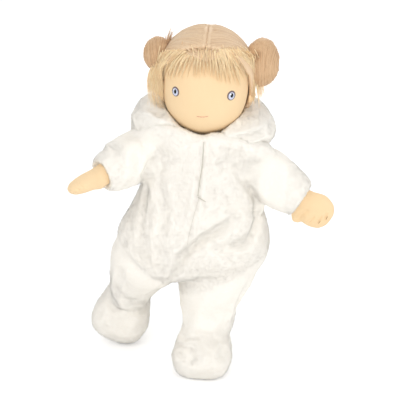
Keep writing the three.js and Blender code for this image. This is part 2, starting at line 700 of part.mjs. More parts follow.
// Eyes: rings and dots of thread, one over the other
function threadDisc(x, z, lift, outer, inner, height, sides = facets.thread) {
  const { place, out } = facePoint(bearingOf(x, z), z, lift);
  const profile = [
    new THREE.Vector2(inner, 0),
    new THREE.Vector2(outer, 0),
    new THREE.Vector2(outer, height),
    new THREE.Vector2(inner, height),
  ];
  if (inner > 0) profile.push(new THREE.Vector2(inner, 0));
  const geometry = new THREE.LatheGeometry(profile, sides).rotateX(Math.PI / 2);
  const toFace = new THREE.Matrix4().makeRotationFromQuaternion(
    new THREE.Quaternion().setFromUnitVectors(vector(0, 0, 1), out),
  ).setPosition(place);
  return solidOf(geometry.applyMatrix4(toFace));
}

for (const [name, limb] of Object.entries(limbs)) {
  const x = limb.side * eye.aside;
  const { height, rimRadius, irisRadius, pupilRadius, glintRadius, glintOff, thread } = eye;
  const rim = threadDisc(x, height, seam, rimRadius, irisRadius + seam, thread);
  const iris = threadDisc(x, height, seam, irisRadius, pupilRadius + seam, thread);
  const pupil = threadDisc(x, height, seam, pupilRadius, 0, thread);
  const overPupil = 2 * seam + thread;
  const glint = threadDisc(
    x - glintOff, height + glintOff, overPupil, glintRadius, 0, 0.5 * thread, facets.small,
  );
  addPiece(`eye_rim_${name}`, 'head', rim, paint.rim);
  addPiece(`eye_iris_${name}`, 'head', iris, paint.iris);
  addPiece(`eye_pupil_${name}`, 'head', pupil, paint.pupil);
  addPiece(`eye_glint_${name}`, 'head', glint, paint.glint);
}

// Mouth: one line of stitches
class MouthCurve extends THREE.Curve {
  getPoint(t, target = vector(0, 0, 0)) {
    const across = 2 * t - 1;
    const height = mouth.height - mouth.droop * (1 - across ** 2);
    const bearing = bearingOf(across * mouth.halfWidth, height);
    return target.copy(facePoint(bearing, height, seam + mouth.thread).place);
  }
}
const stitch = new THREE.Shape().absarc(0, 0, mouth.thread, 0, 2 * Math.PI);
addPiece('mouth', 'head', solidOf(new THREE.ExtrudeGeometry(stitch, {
  steps: 8, curveSegments: 3, bevelEnabled: false, extrudePath: new MouthCurve(),
})), paint.lips);

// Hood: pushed back, a collar at the front that rises at the sides and bags out behind
function hoodRing(turn) {
  const fromFront = Math.min(turn, 360 - turn);
  const toSide = THREE.MathUtils.smoothstep(fromFront, 12, 72);
  const toBack = THREE.MathUtils.smoothstep(fromFront, 100, 165);
  const at = (key) => mix(mix(hood.collar[key], hood.side[key], toSide), hood.back[key], toBack);
  const reach = at('reach');
  const rim = at('rim');
  const rimHeight = at('rimHeight');
  const bulge = at('bulge');
  const bottom = at('bottom');
  const { base, seamHeight, cloth } = hood;
  const section = [
    [base, seamHeight],
    [base + cloth, seamHeight + 0.5 * cloth],
    [mix(base, reach, 0.6), bottom + cloth],
    [reach - cloth, bulge],
    [rim - cloth, rimHeight - 0.3 * cloth],
    [rim, rimHeight],
    [rim + 0.4 * cloth, rimHeight - 0.4 * cloth],
    [mix(rim, reach, 0.75), mix(rimHeight, bulge, 0.5)],
    [reach, bulge],
    [mix(base, reach, 0.85), mix(bulge, bottom, 0.75)],
    [mix(base, reach, 0.5), bottom],
  ];
  const out = vector(Math.sin(radians(turn)), -Math.cos(radians(turn)), 0);
  return section.map(([r, z]) => out.clone().multiplyScalar(r).setZ(z));
}
const hoodRings = Array.from({ length: hood.turns + 1 }, (unused, i) => (
  hoodRing(mix(hood.frontAngle, 360 - hood.frontAngle, i / hood.turns))
));
const sleevesAndBody = (grow) => joined([
  bodyForm(grow),
  sleeveOuters.left(grow),
  sleeveOuters.right(grow),
]);
const hoodPiece = skinOver(hoodRings).subtract(inFrame(sleevesAndBody(seam), 'torso', 'hood'));
addPiece('hood', 'hood', hoodPiece, paint.plush);

// The origin is under the middle of the doll, on the floor
doll.updateMatrixWorld(true);
const reach = new THREE.Box3().setFromObject(doll, true);
const centre = reach.getCenter(vector(0, 0, 0));
doll.position.set(-centre.x, -centre.y, -reach.min.z);
doll.updateMatrixWorld(true);

export default doll;
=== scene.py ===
# A soft cloth baby doll in a hooded plush romper, dressed for the picture.
# Metres, the doll faces -Y, left and right are the doll's own.
import json
import math
import random

import bpy
import numpy as np
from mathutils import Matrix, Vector, noise
from mathutils.bvhtree import BVHTree


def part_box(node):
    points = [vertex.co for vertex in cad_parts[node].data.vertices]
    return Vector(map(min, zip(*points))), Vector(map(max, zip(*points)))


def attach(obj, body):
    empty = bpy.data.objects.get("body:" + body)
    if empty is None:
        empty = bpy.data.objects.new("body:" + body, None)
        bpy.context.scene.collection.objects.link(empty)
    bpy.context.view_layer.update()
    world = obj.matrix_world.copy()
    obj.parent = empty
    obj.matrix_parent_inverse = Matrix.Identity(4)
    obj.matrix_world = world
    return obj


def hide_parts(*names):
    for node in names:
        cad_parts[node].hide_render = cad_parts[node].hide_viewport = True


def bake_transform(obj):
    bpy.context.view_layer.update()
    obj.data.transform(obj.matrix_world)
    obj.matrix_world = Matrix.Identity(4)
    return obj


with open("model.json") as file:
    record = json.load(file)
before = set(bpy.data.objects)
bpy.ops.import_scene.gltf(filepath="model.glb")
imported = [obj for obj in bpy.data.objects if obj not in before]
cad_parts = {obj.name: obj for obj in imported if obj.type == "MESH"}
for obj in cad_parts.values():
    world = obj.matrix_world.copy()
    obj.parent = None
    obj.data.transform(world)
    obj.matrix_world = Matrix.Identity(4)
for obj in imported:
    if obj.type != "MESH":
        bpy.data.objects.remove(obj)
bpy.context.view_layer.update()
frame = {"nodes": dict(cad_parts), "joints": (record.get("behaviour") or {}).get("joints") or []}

nodes = frame["nodes"]
joints = {joint["name"]: joint for joint in frame["joints"]}
mm = 0.001
sides = ("left", "right")


# Small tools

# Only these objects stay selected, the first one active
def pick(*chosen):
    bpy.ops.object.select_all(action="DESELECT")
    for each in chosen:
        each.select_set(True)
    bpy.context.view_layer.objects.active = chosen[0]


def editAll(piece):
    pick(piece)
    bpy.ops.object.mode_set(mode="EDIT")
    bpy.ops.mesh.select_all(action="SELECT")


def editDone():
    bpy.ops.object.mode_set(mode="OBJECT")


# The name of a visual piece, from the name of a node or a label
def pieceName(label):
    words = label.split("_")
    return words[0] + "".join(word.capitalize() for word in words[1:])


# The middle of a node's box
def middleOf(name):
    low, high = (Vector(corner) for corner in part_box(name))
    return (low + high) / 2


# Joined copy of CAD nodes, merged, with no material
def copyOf(sources, name):
    copies = []
    for source in sources:
        each = bpy.data.objects.new(name, nodes[source].data.copy())
        bpy.context.scene.collection.objects.link(each)
        copies.append(each)
    pick(*copies)
    if len(copies) > 1:
        bpy.ops.object.join()
    made = bpy.context.object
    made.name = made.data.name = name
    made.data.materials.clear()
    editAll(made)
    bpy.ops.mesh.remove_doubles(threshold=0.001 * mm)
    editDone()
    return made


# Adds a modifier with these values and applies it
def applyOn(piece, kind, **values):
    modifier = piece.modifiers.new(kind.lower(), kind)
    for key, value in values.items():
        setattr(modifier, key, value)
    pick(piece)
    bpy.ops.object.modifier_apply(modifier=modifier.name)


def smooth(piece, rounds, **values):
    applyOn(piece, "SMOOTH", factor=0.5, iterations=rounds, **values)


def subdivide(piece, levels):
    applyOn(piece, "SUBSURF", levels=levels, render_levels=levels)


def remesh(piece, voxel):
    applyOn(piece, "REMESH", mode="VOXEL", voxel_size=voxel)


def pointsOf(piece):
    points = np.empty(len(piece.data.vertices) * 3)
    piece.data.vertices.foreach_get("co", points)
    return points.reshape(-1, 3)


def normalsOf(piece):
    normals = np.empty(len(piece.data.vertices) * 3)
    piece.data.vertices.foreach_get("normal", normals)
    return normals.reshape(-1, 3)


def placePoints(piece, points):
    piece.data.vertices.foreach_set("co", np.asarray(points, dtype=np.float32).ravel())
    piece.data.update()


def faceCentres(piece):
    centres = np.empty(len(piece.data.polygons) * 3)
    piece.data.polygons.foreach_get("center", centres)
    return centres.reshape(-1, 3)


# Leaves edit mode on, with just the faces that the list says selected
def editFaces(piece, chosen):
    pick(piece)
    bpy.context.tool_settings.mesh_select_mode = (False, False, True)
    for group in (piece.data.vertices, piece.data.edges):
        group.foreach_set("select", np.zeros(len(group), dtype=bool))
    piece.data.polygons.foreach_set("select", np.asarray(chosen, dtype=bool))
    bpy.ops.object.mode_set(mode="EDIT")


def treeOf(piece):
    return BVHTree.FromObject(piece, bpy.context.evaluated_depsgraph_get())


def smoothShade(piece):
    piece.data.polygons.foreach_set("use_smooth", np.ones(len(piece.data.polygons), dtype=bool))
    piece.data.update()


def wear(piece, material):
    piece.data.materials.clear()
    piece.data.materials.append(material)


def paint(piece, material):
    smoothShade(piece)
    wear(piece, material)


# An even rise from 0 to 1, turned into one with soft ends
def eased(share):
    return share * share * (3 - 2 * share)


# Camera, as the photograph was taken

camera = {
    "place": (-1.5 * mm, -1077.6 * mm, 587.1 * mm),
    "elevation": 21,
    "focal": 1150,  # in pixels of the 400 pixel frame
    "frame": 400,
    "sensor": 36,
}


def makeCamera():
    data = bpy.data.cameras.new("photoCamera")
    data.sensor_width = camera["sensor"]
    data.lens = camera["focal"] / camera["frame"] * camera["sensor"]
    data.clip_end = 20
    made = bpy.data.objects.new("photoCamera", data)
    bpy.context.scene.collection.objects.link(made)
    made.location = camera["place"]
    made.rotation_euler = (math.radians(90 - camera["elevation"]), 0, 0)
    bpy.context.scene.camera = made


# The direction that the photograph's pixel looks in
def pixelRay(px, py):
    tilt = math.radians(camera["elevation"])
    forward = Vector((0, math.cos(tilt), -math.sin(tilt)))
    upward = Vector((0, math.sin(tilt), math.cos(tilt)))
    middle = camera["frame"] / 2
    ray = forward + Vector((1, 0, 0)) * (px - middle) / camera["focal"]
    ray -= upward * (py - middle) / camera["focal"]
    return ray.normalized()


# Where the photograph's pixel falls on a surface: point and normal
def seenAt(tree, px, py):
    return tree.ray_cast(Vector(camera["place"]), pixelRay(px, py))[:2]


makeCamera()
print("camera ready")


# Shader tools

def newGroup(name, inputs, outputs):
    group = bpy.data.node_groups.new(name, "ShaderNodeTree")
    for label, kind, value in inputs:
        socket = group.interface.new_socket(label, in_out="INPUT", socket_type=kind)
        socket.default_value = value
    for label, kind in outputs:
        group.interface.new_socket(label, in_out="OUTPUT", socket_type=kind)
    return group, group.nodes.new("NodeGroupInput"), group.nodes.new("NodeGroupOutput")


def noiseNode(tree, scale, detail=3, roughness=0.5):
    node = tree.nodes.new("ShaderNodeTexNoise")
    node.inputs["Scale"].default_value = scale
    node.inputs["Detail"].default_value = detail
    node.inputs["Roughness"].default_value = roughness
    return node


def mathNode(tree, operation, first=None, second=None):
    node = tree.nodes.new("ShaderNodeMath")
    node.operation = operation
    for socket, value in zip(node.inputs, (first, second)):
        if isinstance(value, (int, float)):
            socket.default_value = value
        elif value is not None:
            tree.links.new(value, socket)
    return node.outputs[0]


def mixColour(tree, factor, first, second):
    node = tree.nodes.new("ShaderNodeMix")
    node.data_type = "RGBA"
    node.blend_type = "MIX"
    sockets = (node.inputs["Factor"], node.inputs[6], node.inputs[7])
    for socket, value in zip(sockets, (factor, first, second)):
        if isinstance(value, (int, float, tuple)):
            socket.default_value = value
        else:
            tree.links.new(value, socket)
    return node.outputs[2]


def rgb(red, green, blue):
    values = [value / 255 for value in (red, green, blue)]
    linear = [v / 12.92 if v <= 0.04045 else ((v + 0.055) / 1.055) ** 2.4 for v in values]
    return (*linear, 1)


# Floor and light

light = {
    "key": {"place": (-0.8, -1.2, 1.7), "size": 1.6, "power": 7.7},
    "fill": {"place": (1.3, -1.0, 0.8), "size": 1.6, "power": 4.3},
    "front": {"place": (0.1, -1.5, 0.15), "size": 1.6, "power": 7.1},
    "back": {"place": (0.2, 1.4, 1.3), "size": 1.4, "power": 8},
    "sky": 0.73,
    "floorColour": (0.95, 0.95, 0.95, 1),
    "floorLift": 0.22,
}


def areaLamp(name, place, size, power):
    data = bpy.data.lights.new(name, "AREA")
    data.shape = "DISK"
    data.size = size
    data.energy = power
    lamp = bpy.data.objects.new(name, data)
    bpy.context.scene.collection.objects.link(lamp)
    lamp.location = place
    aim = Vector((0, 0, 0.17)) - lamp.location
    lamp.rotation_euler = aim.to_track_quat("-Z", "Y").to_euler()


# White where the camera, a gloss or a clear pane sees it, and a lit floor to everything else
def isSeen(tree):
    path = tree.nodes.new("ShaderNodeLightPath").outputs
    either = mathNode(tree, "MAXIMUM", path["Is Camera Ray"], path["Is Glossy Ray"])
    return mathNode(tree, "MAXIMUM", either, path["Is Transmission Ray"])


def makeStage():
    for name in ("key", "fill", "front", "back"):
        areaLamp(name + "Lamp", **light[name])
    world = bpy.data.worlds.new("studio")
    bpy.context.scene.world = world
    world.use_nodes = True
    tree = world.node_tree
    background = tree.nodes["Background"]
    background.inputs["Color"].default_value = (1, 1, 1, 1)
    strength = tree.nodes.new("ShaderNodeMix")
    strength.inputs["A"].default_value = light["sky"]
    strength.inputs["B"].default_value = 1
    tree.links.new(isSeen(tree), strength.inputs["Factor"])
    tree.links.new(strength.outputs["Result"], background.inputs["Strength"])

    bpy.ops.mesh.primitive_plane_add(size=12, location=(0, 0, 0))
    floor = bpy.context.object
    floor.name = "studioFloor"
    surface = bpy.data.materials.new("studioFloor")
    surface.use_nodes = True
    tree = surface.node_tree
    tree.nodes.clear()
    paper = tree.nodes.new("ShaderNodeBsdfDiffuse")
    paper.inputs["Color"].default_value = light["floorColour"]
    lift = tree.nodes.new("ShaderNodeEmission")
    lift.inputs["Color"].default_value = (1, 1, 1, 1)
    strength = mathNode(tree, "MULTIPLY", isSeen(tree), light["floorLift"])
    both = tree.nodes.new("ShaderNodeAddShader")
    out = tree.nodes.new("ShaderNodeOutputMaterial")
    tree.links.new(strength, lift.inputs["Strength"])
    tree.links.new(paper.outputs[0], both.inputs[0])
    tree.links.new(lift.outputs[0], both.inputs[1])
    tree.links.new(both.outputs[0], out.inputs["Surface"])
    wear(floor, surface)
    bpy.context.scene.view_settings.view_transform = "Standard"


makeStage()
print("floor and light ready")


# Materials

# Cloudy change of colour, painted shade in the hollows of the curled pile, and a height made of that pile
def pileGroup():
    group, given, out = newGroup(
        "pile",
        [("Colour", "NodeSocketColor", (1, 1, 1, 1)), ("Deep", "NodeSocketColor", (1, 1, 1, 1)),
         ("Curl", "NodeSocketFloat", 420), ("Patch", "NodeSocketFloat", 30)],
        [("Colour", "NodeSocketColor"), ("Height", "NodeSocketFloat")],
    )
    place = group.nodes.new("ShaderNodeTexCoord")
    curl = noiseNode(group, 1, 4, 0.62)
    fine = noiseNode(group, 1, 2, 0.5)
    patch = noiseNode(group, 1, 3, 0.55)
    for node in (curl, fine, patch):
        group.links.new(place.outputs["Object"], node.inputs["Vector"])
    curl.inputs["Distortion"].default_value = 0.9
    group.links.new(given.outputs["Curl"], curl.inputs["Scale"])
    group.links.new(mathNode(group, "MULTIPLY", given.outputs["Curl"], 3.1), fine.inputs["Scale"])
    group.links.new(given.outputs["Patch"], patch.inputs["Scale"])
    height = mathNode(group, "ADD", curl.outputs[0], mathNode(group, "MULTIPLY", fine.outputs[0], 0.45))
    # Painted shade: the pile's hollows, where the curl is low, take the deep colour
    mask = mathNode(group, "MULTIPLY", mathNode(group, "SUBTRACT", 0.62, curl.outputs[0]), 1.5)
    spread = mathNode(group, "MULTIPLY", mathNode(group, "SUBTRACT", patch.outputs[0], 0.4), 0.9)
    shade = group.nodes.new("ShaderNodeMath")
    shade.operation = "ADD"
    shade.use_clamp = True
    group.links.new(mask, shade.inputs[0])
    group.links.new(spread, shade.inputs[1])
    colour = mixColour(group, shade.outputs[0], given.outputs["Colour"], given.outputs["Deep"])
    group.links.new(colour, out.inputs["Colour"])
    group.links.new(height, out.inputs["Height"])
    return group


# Rows of fine knitted loops with a little blush and slub
def knitGroup():
    group, given, out = newGroup(
        "jersey",
        [("Colour", "NodeSocketColor", (1, 1, 1, 1)), ("Warm", "NodeSocketColor", (1, 1, 1, 1)),
         ("Loops", "NodeSocketFloat", 1500), ("Blush", "NodeSocketFloat", 22)],
        [("Colour", "NodeSocketColor"), ("Height", "NodeSocketFloat")],
    )
    place = group.nodes.new("ShaderNodeTexCoord")
    ribs = group.nodes.new("ShaderNodeTexWave")
    ribs.bands_direction = "X"
    ribs.inputs["Distortion"].default_value = 1.6
    ribs.inputs["Detail"].default_value = 2
    courses = group.nodes.new("ShaderNodeTexWave")
    courses.bands_direction = "Z"
    courses.inputs["Distortion"].default_value = 1.2
    slub = noiseNode(group, 900, 3)
    blush = noiseNode(group, 1, 2, 0.45)
    for node in (ribs, courses, slub, blush):
        group.links.new(place.outputs["Object"], node.inputs["Vector"])
    group.links.new(mathNode(group, "MULTIPLY", given.outputs["Loops"], 0.32), ribs.inputs["Scale"])
    group.links.new(mathNode(group, "MULTIPLY", given.outputs["Loops"], 0.22), courses.inputs["Scale"])
    group.links.new(given.outputs["Blush"], blush.inputs["Scale"])
    loops = mathNode(group, "MULTIPLY", ribs.outputs["Fac"], courses.outputs["Fac"])
    height = mathNode(group, "ADD", loops, mathNode(group, "MULTIPLY", slub.outputs[0], 0.6))
    warmth = mathNode(group, "MULTIPLY", blush.outputs[0], 0.7)
    tint = mathNode(group, "ADD", warmth, mathNode(group, "MULTIPLY", slub.outputs[0], 0.25))
    colour = mixColour(group, tint, given.outputs["Colour"], given.outputs["Warm"])
    group.links.new(colour, out.inputs["Colour"])
    group.links.new(height, out.inputs["Height"])
    return group


pile = pileGroup()
jersey = knitGroup()


def startMaterial(name, roughness, sheen, sheenRoughness, sheenTint, specular):
    made = bpy.data.materials.new(name)
    made.use_nodes = True
    shader = made.node_tree.nodes["Principled BSDF"]
    shader.inputs["Roughness"].default_value = roughness
    shader.inputs["Sheen Weight"].default_value = sheen
    shader.inputs["Sheen Roughness"].default_value = sheenRoughness
    shader.inputs["Sheen Tint"].default_value = sheenTint
    shader.inputs["Specular IOR Level"].default_value = specular
    return made, made.node_tree, shader


def bumpTo(tree, shader, height, distance):
    bump = tree.nodes.new("ShaderNodeBump")
    bump.inputs["Distance"].default_value = distance
    bump.inputs["Strength"].default_value = 1
    tree.links.new(height, bump.inputs["Height"])
    tree.links.new(bump.outputs["Normal"], shader.inputs["Normal"])


# Cloth from one of the groups, with the group's inputs by their labels
def clothMaterial(name, group, given, depth, roughness, sheen, tint, specular):
    made, tree, shader = startMaterial(name, roughness, sheen, 0.4, tint, specular)
    effect = tree.nodes.new("ShaderNodeGroup")
    effect.node_tree = group
    for label, value in given.items():
        effect.inputs[label].default_value = value
    tree.links.new(effect.outputs["Colour"], shader.inputs["Base Color"])
    bumpTo(tree, shader, effect.outputs["Height"], depth)
    return made


def jerseyMaterial(name, colour, warm, loops=1500, depth=0.12 * mm, sheen=0.2):
    given = {"Colour": colour, "Warm": warm, "Loops": loops}
    return clothMaterial(name, jersey, given, depth, 0.85, sheen, (1, 0.95, 0.88, 1), 0.15)


# Deep is painted shade in the pile's hollows as well as the tone of its cloudy patches
plushLook = {"Colour": rgb(251, 247, 239), "Deep": rgb(245, 239, 228), "Curl": 420, "Patch": 30}
plush = clothMaterial("creamPlush", pile, plushLook, 0.12 * mm, 0.95, 0.3, (1, 0.99, 0.96, 1), 0.1)
skinJersey = jerseyMaterial("skinJersey", rgb(250, 223, 182), rgb(244, 211, 165))
print("materials ready")


# The trunk's own directions

shoulderAt = {side: Vector(joints["shoulder_lift_" + side]["pos_m"]) for side in sides}
hipAt = {side: Vector(joints["hip_spread_" + side]["pos_m"]) for side in sides}
neckAt = Vector(joints["neck_turn"]["pos_m"])
hipMiddle = (hipAt["left"] + hipAt["right"]) / 2
towardsLeft = (hipAt["left"] - hipAt["right"]).normalized()
trunkUp = (neckAt - hipMiddle).normalized()
outward = {"left": towardsLeft, "right": -towardsLeft}

headUp = Vector(joints["neck_turn"]["axis"]).normalized()
headLeft = -Vector(joints["head_nod"]["axis"]).normalized()
headFront = headLeft.cross(headUp)


# A place given from the neck: towards the doll's left, forwards and up, in millimetres
def headPlace(aside, front, height):
    return neckAt + (headLeft * aside + headFront * front + headUp * height) * mm


# Direction of a sleeve from its shoulder, and how far its cuff is
def sleeveLine(side):
    start = np.array(shoulderAt[side])
    away = pointsOf(nodes["sleeve_" + side]) - start
    direction = away.mean(axis=0)
    direction /= np.linalg.norm(direction)
    return Vector(direction), float((away @ direction).max())


# Direction of a leg from its hip to its foot
def legLine(side):
    return (middleOf("bootie_" + side) - hipAt[side]).normalized()


# The section of a ring at an angle, its corners drawn out so that the rounded ring still meets them
def ringSection(sections, angle):
    for (low, first), (high, second) in zip(sections, sections[1:]):
        if angle <= high:
            break
    t = min(1, (angle - low) / (high - low))
    ring = np.array(first) * (1 - t) + np.array(second) * t
    rounded = (np.roll(ring, 1, axis=0) + ring * 4 + np.roll(ring, -1, axis=0)) / 6
    return ring + (ring - rounded) * 1.2


# A closed roll round the neck through sections of eight corners: outer, upper outer, top, upper inner,
# inner, lower inner, bottom and lower outer, each as reach from the neck's axis and height in millimetres
def neckRoll(name, sections):
    around, ring = 60, 8
    bpy.ops.mesh.primitive_torus_add(
        major_segments=around, minor_segments=ring, major_radius=1, minor_radius=0.3
    )
    made = bpy.context.object
    made.name = made.data.name = name
    points = pointsOf(made)
    angles = np.degrees(np.arctan2(points[:, 0], -points[:, 1]))
    turns = np.degrees(np.arctan2(points[:, 2], np.hypot(points[:, 0], points[:, 1]) - 1)) % 360
    for index, (angle, turn) in enumerate(zip(angles, turns)):
        reach, height = ringSection(sections, float(angle))[round(turn / 45) % ring]
        across = math.radians(float(angle))
        points[index] = headPlace(reach * math.sin(across), reach * math.cos(across), height)
    placePoints(made, points)
    subdivide(made, 2)
    return made


# Romper: one plush skin over trunk, sleeves and legs

romper = {
    "voxel": 2.9 * mm,
    "smoothing": 10,
    "cuffDepth": 5 * mm,
    "cuffWall": 3.5 * mm,
    "cuffTaper": 1.2 * mm,
    # how far from a sleeve's line its points may lie, for each step
    "aside": {"plump": 34 * mm, "cut": 45 * mm, "mouth": 30 * mm, "held": 40 * mm, "split": 38 * mm},
    "softening": {"reach": 12 * mm, "rounds": 40},
    "plump": {
        "left": {"longer": 5 * mm, "round": 1.0 * mm, "top": 3.5 * mm},
        "right": {"longer": 1 * mm, "round": 0.3 * mm, "top": 0.5 * mm},
    },
    "pressure": 1.2,
    "looseness": -0.05,
    "mostMove": 3.5 * mm,
    "frames": 20,
    "heldBelow": 14 * mm,
    "settled": 3,
    "lump": 0.5 * mm,
    "lumpSize": 12 * mm,
    "curl": 0.15 * mm,
    "curlSize": 4 * mm,
}
trunkNodes = ["romper_front_left", "romper_front_right", "romper_back", "romper_seat"]
limbNodes = ("sleeve", "sleeve_cap", "romper_leg", "bootie", "sole", "arm", "leg")
garment = trunkNodes + ["torso_body", "neck_stump"]
for side in sides:
    garment += [name + "_" + side for name in limbNodes]

# What fills the romper's front up to the hood's rim, by angle from the front, the doll's right first
collar = [
    (-180, [(34, -14), (32, -11), (30, -10), (27, -11), (25, -13), (24, -16), (28, -22), (33, -18)]),
    (-110, [(60, -10), (57, -1), (50, 3), (38, 0), (28, -8), (24, -16), (34, -24), (52, -20)]),
    (-85, [(69, -5), (66, 4), (56, 12), (43, 12), (32, 3), (24, -14), (38, -24), (60, -17)]),
    (-62, [(53, -1), (52, 10), (46, 20), (39, 19), (32, 9), (24, -14), (33, -24), (47, -14)]),
    (-45, [(44, -1), (43.5, 10), (39.5, 19.5), (34, 19), (28, 8), (23, -14), (30, -24), (40, -14)]),
    (-24, [(39, -3), (38, 7), (34.5, 14), (29.5, 13.5), (24, 4), (22, -14), (28, -24), (38, -15)]),
    (0, [(38, -5), (37, 3), (33.5, 10), (28, 9.5), (23.5, 0), (22, -14), (28, -24), (38, -15)]),
    (24, [(39, -3), (38, 7), (34.5, 14), (29.5, 13.5), (24, 4), (22, -14), (28, -24), (38, -15)]),
    (45, [(43, -3), (42, 7), (38, 15), (33, 14), (27, 6), (23, -14), (30, -24), (40, -14)]),
    (62, [(59, -5), (56, 3), (47, 8), (38, 6), (30, -1), (24, -14), (34, -24), (50, -16)]),
    (80, [(67, -6), (63, 3), (53, 7), (43, 5), (31, -3), (24, -14), (36, -24), (58, -16)]),
    (100, [(58, -12), (54, -3), (46, 0), (38, -2), (28, -8), (24, -16), (32, -24), (50, -19)]),
    (180, [(34, -14), (32, -11), (30, -10), (27, -11), (25, -13), (24, -16), (28, -22), (33, -18)]),
]

# Folds, each followed through the photograph's pixels: reach and depth in millimetres
romperFolds = [
    {"reach": 22, "depth": -4.5, "lip": 0, "path": [(256, 150), (268, 157), (284, 166), (298, 176)]},
    {"reach": 20, "depth": -4.0, "lip": 0, "path": [(146, 146), (132, 148), (118, 153)]},
    {
        "reach": 13, "depth": 8.0, "lip": 0.2, "bulge": 4.0,
        "path": [(236, 221), (222, 231), (207, 240), (193, 249), (183, 259), (177, 271)],
    },
    {
        "reach": 12, "depth": 5.0, "lip": 0.2, "bulge": 1.5,
        "path": [
            (240, 180), (250, 192), (258, 205), (257, 219), (254, 233), (247, 243), (232, 248), (217, 251),
        ],
    },
    {"reach": 9, "depth": 3.5, "lip": 1.0, "path": [(160, 156), (152, 166), (146, 176), (139, 184)]},
    {"reach": 10, "depth": 2.2, "lip": 0.8, "path": [(149, 181), (143, 200), (139, 222), (138, 240)]},
    {"reach": 11, "depth": 1.8, "lip": 0.8, "path": [(164, 186), (163, 210), (161, 232), (158, 252)]},
    {"reach": 6, "depth": 1.6, "lip": 0.6, "path": [(203, 142), (202, 160), (200, 180), (198, 197)]},
    {"reach": 6, "depth": 1.0, "lip": 0.4, "path": [(198, 198), (195, 212), (191, 230), (187, 246)]},
    {"reach": 7, "depth": 1.4, "lip": 0.6, "path": [(242, 148), (238, 162), (237, 178)]},
    {"reach": 8, "depth": 1.0, "lip": 0.4, "path": [(178, 270), (170, 276), (158, 278), (148, 276)]},
    {"reach": 7, "depth": 2.6, "lip": 0.8, "path": [(108, 304), (120, 310), (134, 311), (149, 309)]},
    {"reach": 6, "depth": 1.6, "lip": 0.5, "path": [(127, 301), (138, 302), (150, 300)]},
    {"reach": 8, "depth": 2.2, "lip": 0.8, "path": [(184, 334), (198, 336), (214, 336), (230, 334)]},
]
# Where the belly runs on into the thighs without a fold
softened = [
    [(181, 282), (200, 279), (220, 276), (240, 273), (254, 270)],
    [(150, 276), (164, 278), (174, 281)],
]
hoodFolds = [
    {
        "reach": 9, "depth": 5.0, "lip": 1.5,
        "path": [(234, 142), (243, 140), (253, 137), (262, 134), (270, 130)],
    },
    {"reach": 9, "depth": 2.5, "lip": 1.0, "path": [(160, 112), (152, 107), (145, 105)]},
    {"reach": 4, "depth": 2.5, "lip": 0.5, "path": [(204, 138), (203.5, 143), (203, 149)]},
    {"reach": 10, "depth": 1.5, "lip": 0.8, "path": [(165, 131), (155, 136), (142, 138)]},
]


def plushSkin():
    made = copyOf(garment, "romperSkin")
    filling = neckRoll("collarFilling", collar)
    pick(made, filling)
    bpy.ops.object.join()
    remesh(made, romper["voxel"])
    for side in sides:
        plumpSleeve(made, side)
    smooth(made, romper["smoothing"])
    for side in sides:
        cutCuff(made, side)
    return made


# Where points are along a sleeve's line and how far from it
def alongSleeve(points, side):
    direction, reach = sleeveLine(side)
    away = points - np.array(shoulderAt[side])
    along = away @ np.array(direction)
    aside = np.linalg.norm(away - np.outer(along, direction), axis=1)
    return along, aside, direction, reach


# Stretches and swells a sleeve to the fullness that the photograph shows
def plumpSleeve(piece, side):
    look = romper["plump"][side]
    points = pointsOf(piece)
    normals = normalsOf(piece)
    along, aside, direction, reach = alongSleeve(points, side)
    inside = (along > 0) & (aside < romper["aside"]["plump"])
    share = eased(np.clip(along / reach, 0, 1) * inside)
    upper = np.clip(normals @ np.array(trunkUp), 0, 1)
    swell = share * (look["round"] + look["top"] * upper) * (along < reach + 1 * mm)
    placePoints(piece, points + normals * swell[:, None] + np.outer(share * look["longer"], direction))


# Cuts the skin off square at the cuff, where the hand comes out
def cutCuff(piece, side):
    along, aside, direction, reach = alongSleeve(faceCentres(piece), side)
    reach += romper["plump"][side]["longer"]
    near = (along > reach - 12 * mm) & (along < reach + 60 * mm)
    editFaces(piece, near & (aside < romper["aside"]["cut"]))
    cut = shoulderAt[side] + direction * (reach - 0.5 * mm)
    bpy.ops.mesh.bisect(plane_co=cut, plane_no=direction, use_fill=True, clear_outer=True)
    editDone()
    along, aside = alongSleeve(faceCentres(piece), side)[:2]
    large = np.array([polygon.area for polygon in piece.data.polygons]) > 100 * mm * mm
    editFaces(piece, (abs(along - reach + 0.5 * mm) < 2 * mm) & (aside < romper["aside"]["mouth"]) & large)
    bpy.ops.mesh.inset(thickness=romper["cuffWall"], depth=0)
    bpy.ops.mesh.inset(thickness=romper["cuffTaper"], depth=-romper["cuffDepth"])
    editDone()


# The nearest place on a line of spots for each point: its distance, the step of the line it is on,
# the share of that step, and the way from it to the point
def nearestOnLine(points, spots):
    nearest = np.full(len(points), 1.0)
    step = np.zeros(len(points), dtype=int)
    share = np.zeros(len(points))
    away = np.zeros(points.shape)
    for index, (start, end) in enumerate(zip(spots, spots[1:])):
        line = end - start
        t = np.clip((points - start) @ line / (line @ line), 0, 1)
        gap = points - start - t[:, None] * line
        distance = np.linalg.norm(gap, axis=1)
        closer = distance < nearest
        nearest[closer] = distance[closer]
        step[closer] = index
        share[closer] = t[closer]
        away[closer] = gap[closer]
    return nearest, step, share, away


def seenAlong(tree, path):
    seen = [seenAt(tree, *pixel) for pixel in path]
    return [(np.array(point), np.array(normal)) for point, normal in seen if point is not None]


# How a fold fades out at its two ends: over this share of its length, down to this depth
foldEnds = {"over": 0.22, "least": 0.25}


